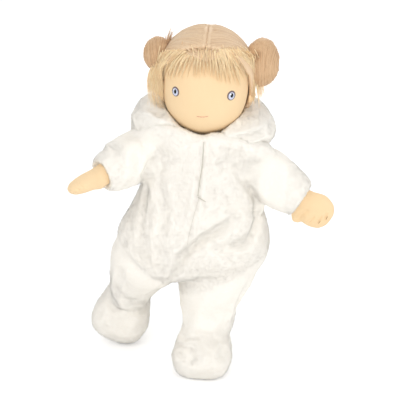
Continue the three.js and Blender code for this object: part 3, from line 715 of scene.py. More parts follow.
# Draws in the skin along a fold, with a soft lip on both sides and a bulge of cloth above it
def carveFolds(piece, folds):
    tree = treeOf(piece)
    points = pointsOf(piece)
    shift = np.zeros(points.shape)
    for fold in folds:
        spots, facing = (np.array(values) for values in zip(*seenAlong(tree, fold["path"])))
        nearest, step, t, away = nearestOnLine(points, spots)
        push = facing[step] * (1 - t[:, None]) + facing[step + 1] * t[:, None]
        share = (step + t) / (len(spots) - 1)
        ease = np.clip(np.minimum(share, 1 - share) / foldEnds["over"], 0, 1)
        ease = foldEnds["least"] + (1 - foldEnds["least"]) * eased(ease)
        u = nearest / (fold["reach"] * mm)
        height = np.exp(-((u - 0.95) * 2.6) ** 2) * fold["lip"] - np.exp(-(u * 2.2) ** 2) * fold["depth"]
        if "bulge" in fold:
            upper = np.cross(facing[:-1], np.diff(spots, axis=0))
            upper *= (np.sign(upper @ np.array(trunkUp)) / np.linalg.norm(upper, axis=1))[:, None]
            above = (away * upper[step]).sum(axis=1)
            over = (above / mm - fold["reach"] * 0.75) / (fold["reach"] * 0.55)
            height += np.exp(-over ** 2 - (u * 0.5) ** 2) * fold["bulge"]
        shift += push * (height * ease * mm)[:, None]
    placePoints(piece, points + shift)
    smooth(piece, 2)


# Smooths a piece along paths followed through the photograph's pixels
def softenAlong(piece, paths, reach, rounds):
    tree = treeOf(piece)
    points = pointsOf(piece)
    nearest = np.full(len(points), 1.0)
    for path in paths:
        spots = [point for point, normal in seenAlong(tree, path)]
        nearest = np.minimum(nearest, nearestOnLine(points, spots)[0])
    group = piece.vertex_groups.new(name="soft")
    for index in np.flatnonzero(nearest < reach * 1.5):
        group.add([int(index)], math.exp(-(nearest[index] / reach) ** 2), "REPLACE")
    smooth(piece, rounds, vertex_group="soft")
    piece.vertex_groups.clear()


headShape = treeOf(nodes["head_skin"])
besideHead = {"reach": 5 * mm, "sink": 0.6 * mm}


# Draws the plush beside the head against it, so that the head sinks in a little
def pressToHead(piece):
    reach, sink = besideHead["reach"], besideHead["sink"]
    points = pointsOf(piece)
    for index, point in enumerate(points):
        place, normal = headShape.find_nearest(Vector(point), reach * 2.5)[:2]
        if place is None:
            continue
        away = (Vector(point) - place).dot(normal)
        share = math.exp(-(away / reach) ** 2) if away > 0 else 1
        target = away * (1 - share) - sink * share if away > 0 else max(away, -sink)
        points[index] = point + np.array(normal) * (target - away)
    placePoints(piece, points)


cloth = {"quality": 4, "mass": 0.15}


# Lets the cloth wrinkle a little over its filling, no point going further than mostMove
def settleCloth(piece, held, values):
    before = pointsOf(piece)
    group = piece.vertex_groups.new(name="held")
    group.add([int(i) for i in np.flatnonzero(held)], 1.0, "REPLACE")
    modifier = piece.modifiers.new("cloth", "CLOTH")
    settings = modifier.settings
    settings.quality = cloth["quality"]
    settings.mass = cloth["mass"]
    settings.use_pressure = True
    settings.uniform_pressure_force = values["pressure"]
    settings.shrink_min = values["looseness"]
    settings.effector_weights.gravity = 0
    settings.vertex_group_mass = "held"
    for step in range(1, values["frames"] + 1):
        bpy.context.scene.frame_set(step)
    evaluated = piece.evaluated_get(bpy.context.evaluated_depsgraph_get())
    after = np.empty(len(before) * 3)
    evaluated.data.vertices.foreach_get("co", after)
    piece.modifiers.remove(modifier)
    piece.vertex_groups.clear()
    bpy.context.scene.frame_set(1)
    move = after.reshape(-1, 3) - before
    length = np.linalg.norm(move, axis=1)
    move *= np.minimum(1, values["mostMove"] / np.maximum(length, 1e-9))[:, None]
    placePoints(piece, before + move)
    print(piece.name, "cloth moved", round(float(length.mean()) / mm, 2), "mm")


# Soft lumps and curls of pile pushed along the normals
def rufflePile(piece, values):
    for label in ("lump", "curl"):
        clouds = bpy.data.textures.new(piece.name + label, "CLOUDS")
        clouds.noise_scale = values[label + "Size"]
        clouds.noise_depth = 2
        strength = values[label] * 2
        applyOn(piece, "DISPLACE", texture=clouds, strength=strength, mid_level=0.5, texture_coords="LOCAL")


# Folds, settles and ruffles a plush skin, the points that held(points) gives staying where they are
def finishPlush(piece, folds, held, values):
    carveFolds(piece, folds)
    settleCloth(piece, held(pointsOf(piece)), values)
    smooth(piece, values["settled"])
    pressToHead(piece)
    subdivide(piece, 1)
    rufflePile(piece, values)
    smoothShade(piece)


def romperHeld(points):
    held = points[:, 2] < romper["heldBelow"]
    for side in sides:
        along, aside, direction, reach = alongSleeve(points, side)
        held |= (along > reach - 6 * mm) & (aside < romper["aside"]["held"])
    return held


skin = plushSkin()
print("romper skin", len(skin.data.vertices))
softenAlong(skin, softened, romper["softening"]["reach"], romper["softening"]["rounds"])
finishPlush(skin, romperFolds, romperHeld, romper)
print("romper skin is", len(skin.data.polygons), "faces")


# Sewn pieces of the romper, one of them across each joint

# Planes square to "across": one joint turns between first and second, the next between second and third
crossing = {
    "arm": {"tilt": 31, "first": 17.5 * mm, "second": 28 * mm, "third": 43 * mm},
    "leg": {"tilt": 36, "first": 3 * mm, "second": 13 * mm, "third": 43 * mm},
}


def armAcross(side):
    direction, reach = sleeveLine(side)
    upper = (trunkUp - direction * trunkUp.dot(direction)).normalized()
    turn = math.radians(crossing["arm"]["tilt"])
    return (direction * math.cos(turn) + upper * math.sin(turn)).normalized(), shoulderAt[side]


# The lowest point of the skin between the legs
def crotchPoint(tree):
    return tree.ray_cast(hipMiddle - trunkUp * 90 * mm, trunkUp)[0]


def legAcross(side, crotch):
    turn = math.radians(crossing["leg"]["tilt"])
    return (-trunkUp * math.cos(turn) + outward[side] * math.sin(turn)).normalized(), crotch


# For each point, the index of the node that is nearest to it
def nearestNode(points, names):
    distances = []
    for name in names:
        tree = treeOf(nodes[name])
        distances.append([tree.find_nearest(Vector(point))[3] for point in points])
    return np.argmin(np.array(distances), axis=0)


# The label of the sewn piece that each face belongs to, and the planes across the joints
def sewnLabels(piece):
    crotch = crotchPoint(treeOf(piece))
    centres = faceCentres(piece)
    labels = np.array(trunkNodes, dtype=object)[nearestNode(centres, trunkNodes)]
    planes = {}
    gaps = {}
    for side in sides:
        line = legLine(side)
        away = centres - np.array(hipAt[side])
        along = np.clip(away @ np.array(line), 0, None)
        gaps[side] = np.linalg.norm(away - np.outer(along, line), axis=1)
    for side in sides:
        across, start = legAcross(side, crotch)
        ahead = (centres - np.array(start)) @ np.array(across)
        mine = gaps[side] < gaps["right" if side == "left" else "left"]
        look = crossing["leg"]
        labels[mine & (ahead > look["first"])] = "hip_" + side
        labels[mine & (ahead > look["second"])] = "leg_" + side
        planes["leg_" + side] = (start, across)
        far = mine & (ahead > look["third"])
        legNames = ["romper_leg_" + side, "bootie_" + side, "sole_" + side]
        found = np.array(["leg_" + side, "bootie_" + side, "sole_" + side], dtype=object)
        chosen = np.flatnonzero(far)
        labels[chosen] = found[nearestNode(centres[chosen], legNames)]
    for side in sides:
        across, start = armAcross(side)
        along, aside, direction, reach = alongSleeve(centres, side)
        ahead = (centres - np.array(start)) @ np.array(across)
        mine = (along > 0) & (aside < romper["aside"]["split"])
        look = crossing["arm"]
        labels[mine & (ahead > look["first"])] = "yoke_" + side
        labels[mine & (ahead > look["second"])] = "sleeve_" + side
        planes["arm_" + side] = (start, across)
    return labels, planes


# Splits a piece by the labels of its faces, with the shading of the whole kept
def splitBy(piece, labels):
    names = sorted(set(labels))
    normals = normalsOf(piece)
    piece.data.normals_split_custom_set_from_vertices([tuple(normal) for normal in normals])
    piece.data.materials.clear()
    for name in names:
        piece.data.materials.append(bpy.data.materials.new("sewn " + name))
    order = {name: index for index, name in enumerate(names)}
    chosen = np.array([order[name] for name in labels], dtype=np.int32)
    piece.data.polygons.foreach_set("material_index", chosen)
    editAll(piece)
    bpy.ops.mesh.separate(type="MATERIAL")
    editDone()
    parts = {}
    for part in list(bpy.context.selected_objects):
        parts[part.data.materials[0].name.removeprefix("sewn ")] = part
    return parts


# The direction that each point is shaded by
def shadingOf(piece):
    mesh = piece.data
    corners = np.empty(len(mesh.loops) * 3, dtype=np.float32)
    mesh.corner_normals.foreach_get("vector", corners)
    owners = np.empty(len(mesh.loops), dtype=np.int32)
    mesh.loops.foreach_get("vertex_index", owners)
    total = np.zeros((len(mesh.vertices), 3))
    np.add.at(total, owners, corners.reshape(-1, 3))
    return total / np.maximum(np.linalg.norm(total, axis=1), 1e-9)[:, None]


# Short tapering hairs all over a skin, brushed down and swirled, as one mesh with it
fuzz = {
    "each": 1.5 * mm * mm, "length": 1.5 * mm, "lengths": (0.6, 1.15), "width": 0.26 * mm,
    "down": 0.55, "swirl": 0.2, "swirlSize": 6 * mm, "spread": 0.13, "leastUpright": 0.35,
    "rooted": 0.3 * mm, "aboveFloor": 0.3 * mm, "shorterAtJoints": 0.35, "jointMargin": 0.05,
    "corners": (0, 2.094, 4.189),  # in radians round a hair's root
}


# Places strewn evenly over a skin, and the direction that it faces there
def strewn(piece, each, chance):
    mesh = piece.data
    mesh.calc_loop_triangles()
    corners = np.empty(len(mesh.loop_triangles) * 3, dtype=np.int32)
    mesh.loop_triangles.foreach_get("vertices", corners)
    corners = corners.reshape(-1, 3)
    points = pointsOf(piece)
    normals = normalsOf(piece)
    a, b, c = (points[corners[:, k]] for k in range(3))
    areas = np.linalg.norm(np.cross(b - a, c - a), axis=1) / 2
    count = int(areas.sum() / each)
    chosen = chance.choice(len(areas), count, p=areas / areas.sum())
    u, v = chance.random(count), chance.random(count)
    flip = u + v > 1
    u[flip], v[flip] = 1 - u[flip], 1 - v[flip]
    weights = np.column_stack([1 - u - v, u, v])
    roots = sum(points[corners[chosen, k]] * weights[:, k:k + 1] for k in range(3))
    upright = sum(normals[corners[chosen, k]] * weights[:, k:k + 1] for k in range(3))
    return roots, upright / np.linalg.norm(upright, axis=1)[:, None]


# A mesh of three-sided spikes, each from three points round its root to its tip
def spikePiece(name, rings, tips):
    cloud = np.stack([*rings, tips], axis=1).reshape(-1, 3)
    first = (np.arange(len(tips)) * 4)[:, None]
    triangles = ((0, 1, 3), (1, 2, 3), (2, 0, 3), (0, 2, 1))
    faces = np.concatenate([first + np.array(triangle) for triangle in triangles])
    mesh = bpy.data.meshes.new(name)
    mesh.vertices.add(len(cloud))
    mesh.vertices.foreach_set("co", cloud.astype(np.float32).ravel())
    mesh.loops.add(faces.size)
    mesh.loops.foreach_set("vertex_index", faces.astype(np.int32).ravel())
    mesh.polygons.add(len(faces))
    mesh.polygons.foreach_set("loop_start", (np.arange(len(faces)) * 3).astype(np.int32))
    mesh.update(calc_edges=True)
    made = bpy.data.objects.new(name, mesh)
    bpy.context.scene.collection.objects.link(made)
    return made


# The hairs, shorter between the two planes of a joint's band
def addFuzz(piece, seed, band=None):
    chance = np.random.default_rng(seed)
    roots, upright = strewn(piece, fuzz["each"], chance)
    count = len(roots)
    swirl = np.array([noise.noise_vector(Vector(root) / fuzz["swirlSize"]) for root in roots])
    lean = upright + swirl * fuzz["swirl"] + chance.normal(0, fuzz["spread"], (count, 3))
    lean[:, 2] -= fuzz["down"]
    lean += upright * np.clip(fuzz["leastUpright"] - (lean * upright).sum(axis=1), 0, None)[:, None]
    lean /= np.linalg.norm(lean, axis=1)[:, None]
    length = fuzz["length"] * chance.uniform(*fuzz["lengths"], count)[:, None]
    if band is not None:
        start, end = (np.array(place) for place in band)
        t = (roots - start) @ (end - start) / ((end - start) @ (end - start))
        margin = fuzz["jointMargin"]
        length[(t > -margin) & (t < 1 + margin)] *= fuzz["shorterAtJoints"]
    tips = roots + lean * length
    low = tips[:, 2] < fuzz["aboveFloor"]
    tips[low, 2] = fuzz["aboveFloor"]
    beside = np.cross(lean, chance.normal(0, 1, (count, 3)))
    beside /= np.linalg.norm(beside, axis=1)[:, None]
    other = np.cross(lean, beside)
    roots = roots - upright * fuzz["rooted"]
    rings = []
    for turn in fuzz["corners"]:
        rings.append(roots + (beside * math.cos(turn) + other * math.sin(turn)) * fuzz["width"])
    hairs = spikePiece(piece.name + "Fuzz", rings, tips)
    paint(hairs, piece.data.materials[0])
    leaning = np.concatenate([shadingOf(piece), np.repeat(upright, 4, axis=0)])
    pick(piece, hairs)
    bpy.ops.object.join()
    piece.data.normals_split_custom_set_from_vertices(leaning.tolist())


# The node that each sewn piece stands for, and what a piece across a joint turns between
standsFor = {label: [label] for label in trunkNodes}
crossed = {}
for side in sides:
    standsFor["yoke_" + side] = ["sleeve_cap_" + side]
    for kind in ("sleeve_", "bootie_", "sole_"):
        standsFor[kind + side] = [kind + side]
    standsFor["hip_" + side] = []
    standsFor["leg_" + side] = ["romper_leg_" + side]
    crossed["yoke_" + side] = ("arm_" + side, "torso", "shoulder_" + side, "first", "second")
    crossed["sleeve_" + side] = ("arm_" + side, "shoulder_" + side, "arm_" + side, "second", "third")
    crossed["hip_" + side] = ("leg_" + side, "torso", "hip_" + side, "first", "second")
    crossed["leg_" + side] = ("leg_" + side, "hip_" + side, "leg_" + side, "second", "third")

skinTree = treeOf(skin)
faceLabels, crossPlanes = sewnLabels(skin)
skinParts = splitBy(skin, faceLabels)
for index, (label, part) in enumerate(sorted(skinParts.items())):
    part.name = part.data.name = pieceName(label)
    wear(part, plush)
    part.data.polygons.foreach_set("material_index", np.zeros(len(part.data.polygons), dtype=np.int32))
    if label in crossed:
        plane, before, after, start, end = crossed[label]
        origin, across = crossPlanes[plane]
        look = crossing[plane.split("_")[0]]
        band = (origin + across * look[start], origin + across * look[end])
        addFuzz(part, index + 1, band)
        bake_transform(part)
    else:
        onLeg = label.split("_")[0] in ("bootie", "sole")
        addFuzz(part, index + 1)
        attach(part, "leg_" + label.split("_")[1] if onLeg else "torso")
    if standsFor[label]:
        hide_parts(*standsFor[label])
print("romper split into", len(skinParts), "pieces")


# Head

face = {
    "fineness": 4,
    "smoothing": 14,
    "fill": 0.5 * mm,
    "nose": {"at": (0, 44, 36), "reach": 7.5, "out": 1.1},
    "cheeks": {"at": (24, 34, 32), "reach": 15, "out": 0.7},
    "sockets": {"at": (26, 36, 51), "reach": 8, "out": -0.5},
}


def makeHead():
    low, high = (Vector(corner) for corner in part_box("head_skin"))
    middle = (low + high) / 2
    bpy.ops.mesh.primitive_ico_sphere_add(subdivisions=face["fineness"], radius=1, location=middle)
    made = bpy.context.object
    made.name = "headJersey"
    made.scale = (high - low) / 2 * 1.15
    bpy.ops.object.transform_apply(location=True, rotation=False, scale=True)
    applyOn(made, "SHRINKWRAP", target=nodes["head_skin"], wrap_method="NEAREST_SURFACEPOINT")
    smooth(made, face["smoothing"])
    subdivide(made, 2)
    points = pointsOf(made)
    normals = normalsOf(made)
    shift = np.full(len(points), face["fill"])
    bumps = [face["nose"]]
    for turn in (1, -1):
        for part in (face["cheeks"], face["sockets"]):
            aside, front, height = part["at"]
            bumps.append({**part, "at": (aside * turn, front, height)})
    for bump in bumps:
        away = np.linalg.norm(points - np.array(headPlace(*bump["at"])), axis=1) / (bump["reach"] * mm)
        shift += np.exp(-away ** 2) * bump["out"] * mm
    placePoints(made, points + normals * shift[:, None])
    paint(made, skinJersey)
    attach(made, "head")
    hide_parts("head_skin")
    return made


headJersey = makeHead()
headTree = treeOf(headJersey)


# Hood

# Cross sections of the laid back hood by angle from the front: outward reach and height from the neck,
# in millimetres, from the outer edge over the top to the head and back underneath
hood = {
    "sections": [
        (-180, [(76, -6), (72, 18), (63, 34), (53, 33), (49, 22), (34, -8), (54, -36), (71, -26)]),
        (-130, [(75, 4), (71, 22), (61, 35), (50, 33), (45, 22), (34, -8), (52, -22), (70, -14)]),
        (-95, [(72, 5), (68, 20), (58, 34), (42, 31.5), (36.5, 20), (30, -6), (48, -16), (66, -6)]),
        (-80, [(68, 5), (65, 19), (55, 32.5), (39.5, 29.5), (32.5, 18), (28, -6), (44, -17), (62, -6)]),
        (-62, [(55, 3), (53, 15), (46.5, 27), (34.8, 24.5), (28.5, 14), (26, -8), (36, -20), (47, -9)]),
        (-45, [(40, -1), (41, 10), (38.5, 19.5), (30, 17.5), (25, 8), (24, -10), (30, -20), (35, -12)]),
        (-24, [(34, -3), (33.5, 4), (32, 10.5), (29.5, 10.5), (25, 4), (23, -12), (28, -20), (33.5, -13)]),
        (0, [(33, -5), (32.5, 1), (31, 6), (28.5, 6), (25, 0), (23, -12), (28, -20), (33, -13)]),
        (24, [(34, -3), (33.5, 4), (32, 10.5), (29.5, 10.5), (25, 4), (23, -12), (28, -20), (33.5, -13)]),
        (45, [(44, 5), (43.5, 13), (39, 19), (30, 17), (25, 8), (24, -10), (30, -20), (37, -8)]),
        (62, [(57, 14), (54, 20), (46, 26), (34.5, 24), (28.5, 14), (26, -8), (36, -16), (50, 2)]),
        (80, [(68, 13), (64, 22), (54, 30.5), (38.5, 29), (32, 18), (28, -6), (44, -12), (62, 3)]),
        (100, [(70, 6), (66, 19), (56, 31), (41.5, 30), (36, 19), (30, -6), (48, -16), (65, -5)]),
        (135, [(73, 4), (69, 20), (60, 33), (50, 32), (45, 22), (34, -8), (52, -22), (69, -14)]),
        (180, [(76, -6), (72, 18), (63, 34), (53, 33), (49, 22), (34, -8), (54, -36), (71, -26)]),
    ],
    "voxel": 2.4 * mm,
    "smoothing": 4,
    "pressure": 0.8, "looseness": -0.06, "mostMove": 2.5 * mm, "frames": 14,
    "heldWithin": 34, "heldUnder": -8, "settled": 2,
    "lump": 0.6 * mm, "lumpSize": 12 * mm, "curl": 0.15 * mm, "curlSize": 4 * mm,
}


def hoodHeld(points):
    away = (points - np.array(neckAt)) / mm
    reach = np.hypot(away @ np.array(headLeft), away @ np.array(headFront))
    return (reach < hood["heldWithin"]) | (away @ np.array(headUp) < hood["heldUnder"])


def makeHood():
    made = neckRoll("hoodPlush", hood["sections"])
    remesh(made, hood["voxel"])
    smooth(made, hood["smoothing"])
    finishPlush(made, hoodFolds, hoodHeld, hood)
    wear(made, plush)
    addFuzz(made, 99)
    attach(made, "torso")
    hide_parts("hood")


makeHood()
print("hood ready")


# Eyes and mouth

# Paint for stitched thread: streaks that an attribute gives, and a twist
def threadMaterial(name, colour, deep):
    made, tree, shader = startMaterial(name, 0.55, 0.3, 0.35, (1, 1, 1, 1), 0.35)
    streak = tree.nodes.new("ShaderNodeAttribute")
    streak.attribute_name = "streak"
    place = tree.nodes.new("ShaderNodeTexCoord")
    fluff = noiseNode(tree, 1800, 2)
    tree.links.new(place.outputs["Object"], fluff.inputs["Vector"])
    share = mathNode(tree, "MULTIPLY", streak.outputs["Fac"], fluff.outputs[0])
    share = mathNode(tree, "MULTIPLY", share, 1.6)
    tree.links.new(mixColour(tree, share, colour, deep), shader.inputs["Base Color"])
    bumpTo(tree, shader, fluff.outputs[0], 0.08 * mm)
    return made


def giveValues(piece, label, values):
    attribute = piece.data.attributes.new(label, "FLOAT", "POINT")
    attribute.data.foreach_set("value", np.asarray(values, dtype=np.float32))


# Eye parts, from the lowest to the topmost: half width, half height, thickness, shift aside and up
eyes = {
    "rim": {
        "size": (4.8, 4.7), "thick": 0.55, "at": (0, 0), "stitches": 34,
        "colour": rgb(134, 116, 114), "deep": rgb(92, 78, 82),
    },
    "iris": {
        "size": (3.9, 3.9), "thick": 0.85, "at": (0, -0.25), "stitches": 30,
        "colour": rgb(230, 232, 246), "deep": rgb(176, 188, 220),
    },
    "pupil": {
        "size": (2.2, 2.7), "thick": 1.2, "at": (0.15, 0.1), "stitches": 14,
        "colour": rgb(14, 14, 20), "deep": rgb(4, 4, 8),
    },
    # The glint is a painted highlight: a white spot over the pupil where the lamp's reflection shows
    "glint": {
        "size": (0.75, 0.85), "thick": 1.5, "at": (-1.25, 1.45), "stitches": 6,
        "colour": rgb(255, 255, 255), "deep": rgb(235, 238, 246),
    },
}


def makeEyePart(part, side):
    look = eyes[part]
    centre, normal = headTree.find_nearest(middleOf("eye_rim_" + side))[:2]
    upward = (headUp - normal * headUp.dot(normal)).normalized()
    aside = upward.cross(normal)
    centre = centre + (aside * look["at"][0] + upward * look["at"][1]) * mm
    bpy.ops.mesh.primitive_uv_sphere_add(segments=64, ring_count=16, radius=1, location=(0, 0, 0))
    made = bpy.context.object
    made.name = pieceName("eye_" + part + "_" + side)
    points = pointsOf(made)
    turn = np.arctan2(points[:, 1], points[:, 0])
    ridge = np.cos(turn * look["stitches"])
    flat = np.hypot(points[:, 0], points[:, 1])
    width, height = (value * mm for value in look["size"])
    points[:, 0] *= width * (1 + 0.035 * ridge * flat)
    points[:, 1] *= height * (1 + 0.035 * ridge * flat)
    points[:, 2] *= look["thick"] * mm * (1 + 0.10 * ridge * flat)
    placePoints(made, points @ np.array([aside, upward, normal]) + np.array(centre))
    giveValues(made, "streak", 0.5 + 0.5 * ridge)
    paint(made, eyeThreads[part])
    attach(made, "head")
    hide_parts("eye_" + part + "_" + side)


# The glint's white thread is a painted highlight
eyeThreads = {}
for part, look in eyes.items():
    eyeThreads[part] = threadMaterial(part + "Thread", look["colour"], look["deep"])
    for side in sides:
        makeEyePart(part, side)

mouth = {
    "path": [(197, 116.2), (199.6, 116.7), (202.4, 116.9), (205.2, 116.7), (208, 116.2)],
    "thickness": 0.32 * mm, "overlap": 0.15, "arch": 0.35,
}


# Tubes along lists of points, each with its own thickness along the way, made one mesh
def tubePiece(name, paths, thickness, resolution=0):
    curve = bpy.data.curves.new(name, "CURVE")
    curve.dimensions = "3D"
    curve.bevel_depth = thickness
    curve.bevel_resolution = resolution
    curve.use_fill_caps = True
    for points, widths in paths:
        spline = curve.splines.new("POLY")
        spline.points.add(len(points) - 1)
        spline.points.foreach_set("co", np.column_stack([points, np.ones(len(points))]).ravel())
        spline.points.foreach_set("radius", np.asarray(widths, dtype=float))
    made = bpy.data.objects.new(name, curve)
    bpy.context.scene.collection.objects.link(made)
    pick(made)
    bpy.ops.object.convert(target="MESH")
    return bpy.context.object


def makeMouth():
    stitches = []
    corners = [seenAt(headTree, *pixel) for pixel in mouth["path"]]
    for (start, n1), (end, ahead) in zip(corners, corners[1:]):
        reach = (end - start) * mouth["overlap"]
        t = np.linspace(0, 1, 7)
        line = [(start - reach).lerp(end + reach, float(k)) for k in t]
        line = [point + n1 * mouth["arch"] * mm * math.sin(math.pi * k) for point, k in zip(line, t)]
        stitches.append((np.array(line), 0.55 + 0.45 * np.sin(np.pi * t)))
    made = tubePiece("mouthStitches", stitches, mouth["thickness"], 2)
    paint(made, threadMaterial("lipThread", rgb(222, 160, 136), rgb(205, 138, 116)))
    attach(made, "head")
    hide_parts("mouth")


makeMouth()
print("head and face ready")


# Hair

hair = {
    "strands": 640, "napeStrands": 360, "points": 12, "thickness": 0.34 * mm,
    "lift": 0.35 * mm, "lifts": (0.2, 1.6), "overSkin": 1.2 * mm, "scatter": 0.004,
    "hairline": 54, "nape": 214,  # degrees round the head from straight ahead, over the top
    "napeTurn": 78, "napeDrop": (0.25, 0.75),
}
cap = {
    "voxel": 1.4 * mm, "smoothing": 18, "lift": 0.6 * mm,
    "partWidth": 0.7, "partFrom": 25, "partDepth": 1.2 * mm,
}
headMiddle = headPlace(0, 0, 52)
seeds = random.Random(7)


def hairMaterial(name, colour, deep, pale):
    made, tree, shader = startMaterial(name, 0.5, 0.25, 0.35, (1, 0.93, 0.85, 1), 0.3)
    shade = tree.nodes.new("ShaderNodeAttribute")
    shade.attribute_name = "streak"
    place = tree.nodes.new("ShaderNodeTexCoord")
    patches = noiseNode(tree, 60, 3)
    fine = noiseNode(tree, 2200, 2)
    tree.links.new(place.outputs["Object"], patches.inputs["Vector"])
    tree.links.new(place.outputs["Object"], fine.inputs["Vector"])
    first = mixColour(tree, shade.outputs["Fac"], colour, deep)
    mask = mathNode(tree, "MULTIPLY", patches.outputs[0], 0.55)
    second = mixColour(tree, mask, first, pale)
    tree.links.new(second, shader.inputs["Base Color"])
    bumpTo(tree, shader, fine.outputs[0], 0.1 * mm)
    return made


combedHair = hairMaterial("combedHair", rgb(231, 203, 168), rgb(203, 167, 131), rgb(243, 219, 188))
bunHair = hairMaterial("bunHair", rgb(222, 187, 148), rgb(190, 149, 110), rgb(236, 206, 168))
# Painted light: the fringe's hair is a lighter copy of the combed hair, for the fringe that faces the lamps
fringeHair = hairMaterial("fringeHair", rgb(255, 232, 187), rgb(240, 199, 151), rgb(255, 243, 212))


# The place of a direction on the head or hair, or nothing where the hair leaves it bare
def onSurface(tree, direction, lift):
    point, normal, index, distance = tree.ray_cast(headMiddle + direction * 0.2, -direction)
    if point is None or (point - headMiddle).length < 40 * mm:
        return None
    return point + direction * lift


# Strands as one mesh, each strand with a tone of its own
def strandPiece(name, paths, thickness, material, body):
    made = tubePiece(name, paths, thickness)
    each = len(made.data.vertices) / sum(len(points) for points, widths in paths)
    tones = []
    for points, widths in paths:
        tones += [seeds.random() ** 1.6] * round(len(points) * each)
    tones = (tones + [0.5] * len(made.data.vertices))[:len(made.data.vertices)]
    giveValues(made, "streak", tones)
    paint(made, material)
    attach(made, body)
    return made


def makeCap():
    made = copyOf(["wig_left", "wig_right"], "hairCap")
    remesh(made, cap["voxel"])
    smooth(made, cap["smoothing"])
    points = pointsOf(made)
    normals = normalsOf(made)
    away = (points - np.array(headMiddle)) / mm
    aside = away @ np.array(headLeft)
    upper = away @ np.array(headUp) > cap["partFrom"]
    part = np.exp(-(aside / cap["partWidth"]) ** 2) * upper
    placePoints(made, points + normals * (cap["lift"] - part * cap["partDepth"])[:, None])
    # Painted shade along the parting: the streak, and with it the deep colour, rises in its groove
    giveValues(made, "streak", 0.35 + 1.2 * part)
    paint(made, combedHair)
    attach(made, "head")
    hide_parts("wig_left", "wig_right")
    return made


hairCap = makeCap()
capTree = treeOf(hairCap)


# Hair combed from the parting, and up from the nape, to the root of the bun
def combedPaths(side):
    sign = 1 if side == "left" else -1
    root = (middleOf("bun_tie_" + side) - headMiddle).normalized()
    paths = []
    for index in range(hair["strands"] + hair["napeStrands"]):
        share = (index + seeds.random()) / hair["strands"]
        if index < hair["strands"]:
            turn = math.radians(hair["hairline"] + share * (hair["nape"] - hair["hairline"]))
            start = headFront * math.cos(turn) + headUp * math.sin(turn) + headLeft * sign * 0.005
        else:
            turn = math.radians(seeds.uniform(0, hair["napeTurn"]))
            start = -headFront * math.cos(turn) + headLeft * sign * math.sin(turn)
            start -= headUp * seeds.uniform(*hair["napeDrop"])
        jitter = [seeds.uniform(-hair["scatter"], hair["scatter"]) for k in range(3)]
        start = (start + Vector(jitter)).normalized()
        lift = hair["lift"] * seeds.uniform(*hair["lifts"])
        points = []
        for k in range(hair["points"]):
            t = k / (hair["points"] - 1)
            rise = lift * (0.35 + 0.65 * math.sin(math.pi * t))
            toward = start.lerp(root, t).normalized()
            point = onSurface(capTree, toward, rise)
            point = point or onSurface(headTree, toward, rise + hair["overSkin"])
            if point is not None:
                points.append(point)
        if len(points) > 3:
            widths = [0.6 + 0.4 * math.sin(math.pi * k / (len(points) - 1)) for k in range(len(points))]
            paths.append((np.array(points), widths))
    return paths


for side in sides:
    name = pieceName("combed_hair_" + side)
    strandPiece(name, combedPaths(side), hair["thickness"], combedHair, "head")

buns = {
    "left": {
        "strands": 520, "turns": 0.46, "lean": 0.25,
        "taller": 4.5 * mm, "wider": 0.22, "dent": 5 * mm, "dentAt": (255, 57),
    },
    "right": {
        "strands": 420, "turns": 0.42, "lean": -0.5,
        "taller": 1.5 * mm, "wider": 0.03, "dent": 1.5 * mm, "dentAt": (163, 55),
    },
}
bunPad = {"voxel": 1.6 * mm, "smoothing": 10, "dentReach": 6 * mm, "tone": 0.6}
winding = {
    "points": 9, "slopes": (20, 135), "drifts": (8, 22), "lifts": (0.1, 0.7), "sunk": 0.1 * mm,
    "radius": 14 * mm, "thickness": 0.36 * mm,
}


# The pad of a bun, drawn out to the photograph's shape
def makeBunPad(side):
    look = buns[side]
    made = copyOf(["bun_" + side], pieceName("bun_pad_" + side))
    remesh(made, bunPad["voxel"])
    smooth(made, bunPad["smoothing"])
    subdivide(made, 1)
    points = pointsOf(made)
    height = points[:, 2]
    share = (height - height.min()) / (height.max() - height.min())
    points[:, 2] += look["taller"] * share * share
    points[:, 0] += (points[:, 0] - points[:, 0].mean()) * look["wider"]
    placePoints(made, points)
    smooth(made, bunPad["smoothing"])
    points = pointsOf(made)
    hit = seenAt(treeOf(made), *look["dentAt"])[0]
    if hit is not None:
        away = np.linalg.norm(points - np.array(hit), axis=1) / bunPad["dentReach"]
        placePoints(made, points - normalsOf(made) * (np.exp(-away ** 2) * look["dent"])[:, None])
    giveValues(made, "streak", np.full(len(made.data.vertices), bunPad["tone"]))
    paint(made, bunHair)
    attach(made, "head")
    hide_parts("bun_" + side)
    return treeOf(made)


# Strands wound round a bun's pad
def makeBun(side):
    tree = makeBunPad(side)
    look = buns[side]
    centre = middleOf("bun_" + side)
    axis = headLeft if side == "left" else -headLeft
    axis = (axis + headUp * look["lean"] * 0.3).normalized()
    front = (headFront - axis * headFront.dot(axis)).normalized()
    above = axis.cross(front)
    paths = []
    for index in range(look["strands"]):
        first, over = winding["slopes"]
        slope = math.radians(first + over * (index + seeds.random()) / look["strands"])
        begin = seeds.uniform(0, 2 * math.pi)
        drift = math.radians(seeds.uniform(*winding["drifts"])) * look["lean"]
        lift = seeds.uniform(*winding["lifts"]) * mm
        points = []
        along = [k / (winding["points"] - 1) for k in range(winding["points"])]
        for t in along:
            angle = begin + t * 2 * math.pi * look["turns"]
            tilt = slope + drift * (t - 0.5)
            aside = front * math.cos(angle) + above * math.sin(angle)
            direction = axis * math.cos(tilt) + aside * math.sin(tilt)
            hit = tree.ray_cast(centre + direction * 0.08, -direction)[0]
            hit = hit or centre + direction * winding["radius"]
            points.append(hit + direction * (lift * math.sin(math.pi * t) - winding["sunk"]))
        paths.append((np.array(points), [0.4 + 0.6 * math.sin(math.pi * t) for t in along]))
    strandPiece(pieceName("bun_strands_" + side), paths, winding["thickness"], bunHair, "head")


for side in sides:
    makeBun(side)

